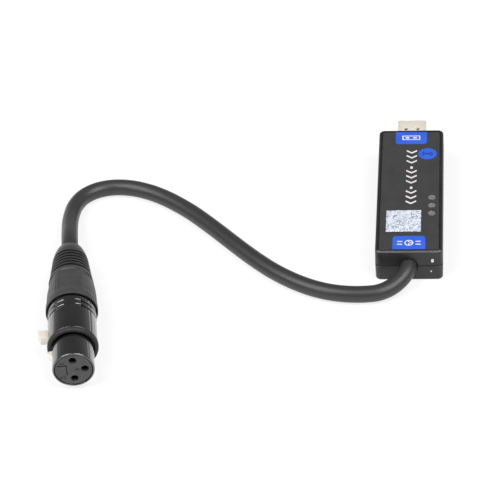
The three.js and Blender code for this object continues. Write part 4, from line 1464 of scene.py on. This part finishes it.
    def nut(self) -> Piece:
        """The nut: a spigot inside the shell, a double taper with six facets and a smooth rear ring.

        Returns:
            The piece.
        """
        along = np.linspace(*self.taper_rings)
        length, depth = self.waist
        dip = np.exp(-(((along - self.taper[1]) / length) ** 2)) * depth
        radii = np.interp(along, self.taper, self.taper_radii) - dip
        corners = [*self.nut_front, *((u, r, 0) for u, r in zip(along, radii)), *self.nut_rear]
        surface = lathe(corners, self.nut_sides, rule=self.facet_rule)
        return Piece("grip_nut", surface, NUT, self.place, replaces=["bushing_nut"])

    def boot(self) -> Piece:
        """The boot: a shank in the nut, ribs that taper to the rear and a smooth tail.

        Returns:
            The piece.
        """
        (start, stop), depth, (front, back) = self.ribs, self.rib_depth, self.rib_rounds
        pitch = (stop - start) / (self.rib_count + self.rib_gap_share)
        corners = list(self.boot_front)
        for i in range(self.rib_count):
            low, high = start + (i + self.rib_gap_share) * pitch, start + (i + 1) * pitch
            fore, aft = np.interp([low, high], self.ribs, self.rib_radii)
            corners += [(low + self.rib_lean, fore - depth, CRISP), (low, fore, front)]
            corners += [(high, aft, back), (high, aft - depth, CRISP)]
        surface = lathe([*corners, *self.boot_rear], self.plain_sides)
        return Piece("ribbed_boot", surface, BOOT, self.place, replaces=["boot_sleeve"])

    def numeral(self, text: str, x: float, z: float) -> Object:
        """Mould a raised numeral on the face, its top towards the latch.

        Args:
            text: The digit.
            x: Its middle across the face.
            z: Its middle up the face.

        Returns:
            The numeral.
        """
        curve = bpy.data.curves.new("numeral", "FONT")
        curve.body, curve.size, curve.extrude = text, self.numeral_size, self.numeral_rise
        curve.align_x, curve.align_y = "CENTER", "CENTER"
        drawn = add_object("numeral", curve)
        mesh = worked_out(drawn)
        bpy.data.objects.remove(drawn)
        turn = Matrix.Rotation(math.pi / 2, 4, "X") @ Matrix.Rotation(math.pi / 2, 4, "Z")
        face = Matrix.Translation((x, self.insert_ends[0], z))
        settle(mesh, self.place.matrix() @ face @ turn, MERGED)
        made = add_object(f"numeral_{text}", mesh)
        dress(made, NUMERAL)
        return made

    def make(self) -> list[Object]:
        """Make the connector's pieces.

        Returns:
            The pieces.
        """
        pieces = [self.shell(), self.insert(), self.collar(), self.nut(), self.boot()]
        pieces.append(Latch().piece(self.place, self.pin(self.pin_halves[1])))
        return [piece.make() for piece in pieces] + [self.numeral(*one) for one in self.numerals]


@dataclass
class Studio:
    """A plain white table, two wide soft lamps at its sides, and a room that dims overhead."""

    table: float = 4000.0  # half its side
    table_thickness: float = 10.0
    table_colour: str = "FAFAFA"
    glow_share: float = 0.78  # of what the eye sees of the table; its shadows show in the rest
    lamp_size: float = 1.1
    lamp_watts: float = 20.5
    lamp_places: tuple[Point, ...] = ((-0.8, -0.5, 1.2), (0.68, -0.5, 1.2))
    lamp_aim: Point = (-0.06, -0.03, 0.0)
    room_levels: tuple[Span, ...] = (
        (0.0, 0.45), (0.12, 0.37), (0.25, 0.27), (0.45, 0.2), (0.62, 0.17), (1.0, 0.15),
    )
    right: Span = (-0.1, 0.2)  # from where to where the right side begins, and the front ends
    front: Span = (-0.4, 0.2)
    foot_height: float = 0.12
    foot_share: float = 0.6
    front_share: float = 0.25

    def make_table(self) -> None:
        """The table top: matte white, and lit through from below, which leaves its shadows faint."""
        half = self.table
        outline = np.array([(half, -half), (half, half), (-half, half), (-half, -half)])
        made = bare_object("table_top", plate(outline, -self.table_thickness, 0.0), Place())
        made.data.materials.append(self.table_material())

    def table_material(self) -> bpy.types.Material:
        """White acrylic over a lamp: white to the eye and in reflections, plain matte to the rest.

        Returns:
            The table's material.
        """
        made = bpy.data.materials.new("lit_white_table")
        made.use_nodes = True
        tree = made.node_tree
        tree.nodes.clear()
        matte = add_node(tree, "ShaderNodeBsdfDiffuse", {0: linear(self.table_colour)})
        white = add_node(tree, "ShaderNodeEmission", {0: linear("FFFFFF"), 1: 1.0})
        seen = add_node(tree, "ShaderNodeLightPath", {}, "Is Camera Ray")
        rays = seen.node.outputs
        for name in ("Is Glossy Ray", "Is Transmission Ray"):
            either = {0: seen, 1: rays[name]}
            seen = add_node(tree, "ShaderNodeMath", either, operation="MAXIMUM")
        share = Painter(tree, seen).times(seen, self.glow_share)
        mix = add_node(tree, "ShaderNodeMixShader", {0: share, 1: matte, 2: white})
        tree.links.new(mix, tree.nodes.new("ShaderNodeOutputMaterial").inputs[0])
        return made

    def make_lamps(self) -> None:
        """The soft lamps, aimed at the middle of the object."""
        for i, place in enumerate(self.lamp_places, 1):
            data = bpy.data.lights.new(f"soft_lamp_{i}", "AREA")
            data.size, data.energy = self.lamp_size, self.lamp_watts
            made = add_object(data.name, data)
            made.location = place
            line = Vector(self.lamp_aim) - made.location
            made.rotation_euler = line.to_track_quat("-Z", "Y").to_euler()

    def make_room(self) -> None:
        """Light the room by height: grey, dimmer overhead, and darker at its right foot and front."""
        world = bpy.data.worlds.new("studio")
        world.use_nodes = True
        tree = world.node_tree
        place = add_node(tree, "ShaderNodeTexCoord", {}, "Generated")
        x, y, z = add_node(tree, "ShaderNodeSeparateXYZ", {0: place}).node.outputs
        ramp = add_node(tree, "ShaderNodeValToRGB", {0: z})
        stops = ramp.node.color_ramp.elements
        while len(stops) < len(self.room_levels):
            stops.new(0.5)
        for stop, (at, level) in zip(stops, self.room_levels):
            stop.position, stop.color = at, (level, level, level, 1.0)
        painter = Painter(tree, place)
        foot = painter.carried(z, (1, 0), (0, self.foot_height))
        foot = painter.times(painter.carried(x, (0, 1), self.right), foot)
        foot = painter.carried(foot, (1, self.foot_share), (0, 1))
        level = painter.times(foot, painter.carried(y, (self.front_share, 1), self.front))
        background = tree.nodes["Background"].inputs
        tree.links.new(ramp, background["Color"])
        tree.links.new(level, background["Strength"])
        bpy.context.scene.world = world

    def make(self) -> None:
        """Set up the studio and the plain view transform."""
        self.make_table()
        self.make_lamps()
        self.make_room()
        bpy.context.scene.view_settings.view_transform = "Standard"


def connector_place() -> Place:
    """Where the connector is, from the record's mount on its face.

    Returns:
        The connector's axes.
    """
    mount = next(m for m in frame["record"]["mounts"] if m["name"] == "connector_face")
    (x, y, z), (out_x, out_y, _) = (value / MM for value in mount["pos_m"]), mount["axis"]
    depth = Connector.mount_depth
    return Place((x + out_x * depth, y + out_y * depth, z), math.atan2(out_x, -out_y))


def dress_inner_solids() -> None:
    """Give each solid that keeps its mesh the finish that its name stands for."""
    for finish, starts in INNER_FINISHES:
        for name, node in frame["nodes"].items():
            if name.startswith(starts):
                for slot in node.material_slots:
                    slot.material = finish.material()


def make_case() -> InterfaceCase:
    """Make the case and what is printed on it, sized from its two solids.

    Returns:
        The case.
    """
    low, high = box_mm("lower_case")
    (width, length), (x, y) = (high - low)[:2], ((low + high) / 2)[:2]
    case = InterfaceCase(width, length, box_mm("upper_case")[1][2], Place((x, y, 0.0)))
    for piece in case.pieces() + TopMarks(case).pieces():
        piece.make()
    return case


def make_plug(case: InterfaceCase) -> None:
    """Make the plug's shell, sized from its solid.

    Args:
        case: The case that it stands in.
    """
    low, high = box_mm("usb_plug_shell")
    face = case.place.origin[1] + case.length / 2
    width, _, height = high - low
    UsbPlug(case, width, height, high[1] - face, low[1] - face).piece().make()


def main() -> None:
    """Build the camera and the lead, then the rest of the object and the studio."""
    logging.basicConfig(level=logging.INFO, format="%(message)s")
    Camera().make()
    place = connector_place()
    lead = Lead(place)
    jacket = lead.make()
    pieces = Connector(place).make()
    lead.declare()
    make_plug(make_case())
    dress_inner_solids()
    Studio().make()


if __name__ == "__main__":
    main()
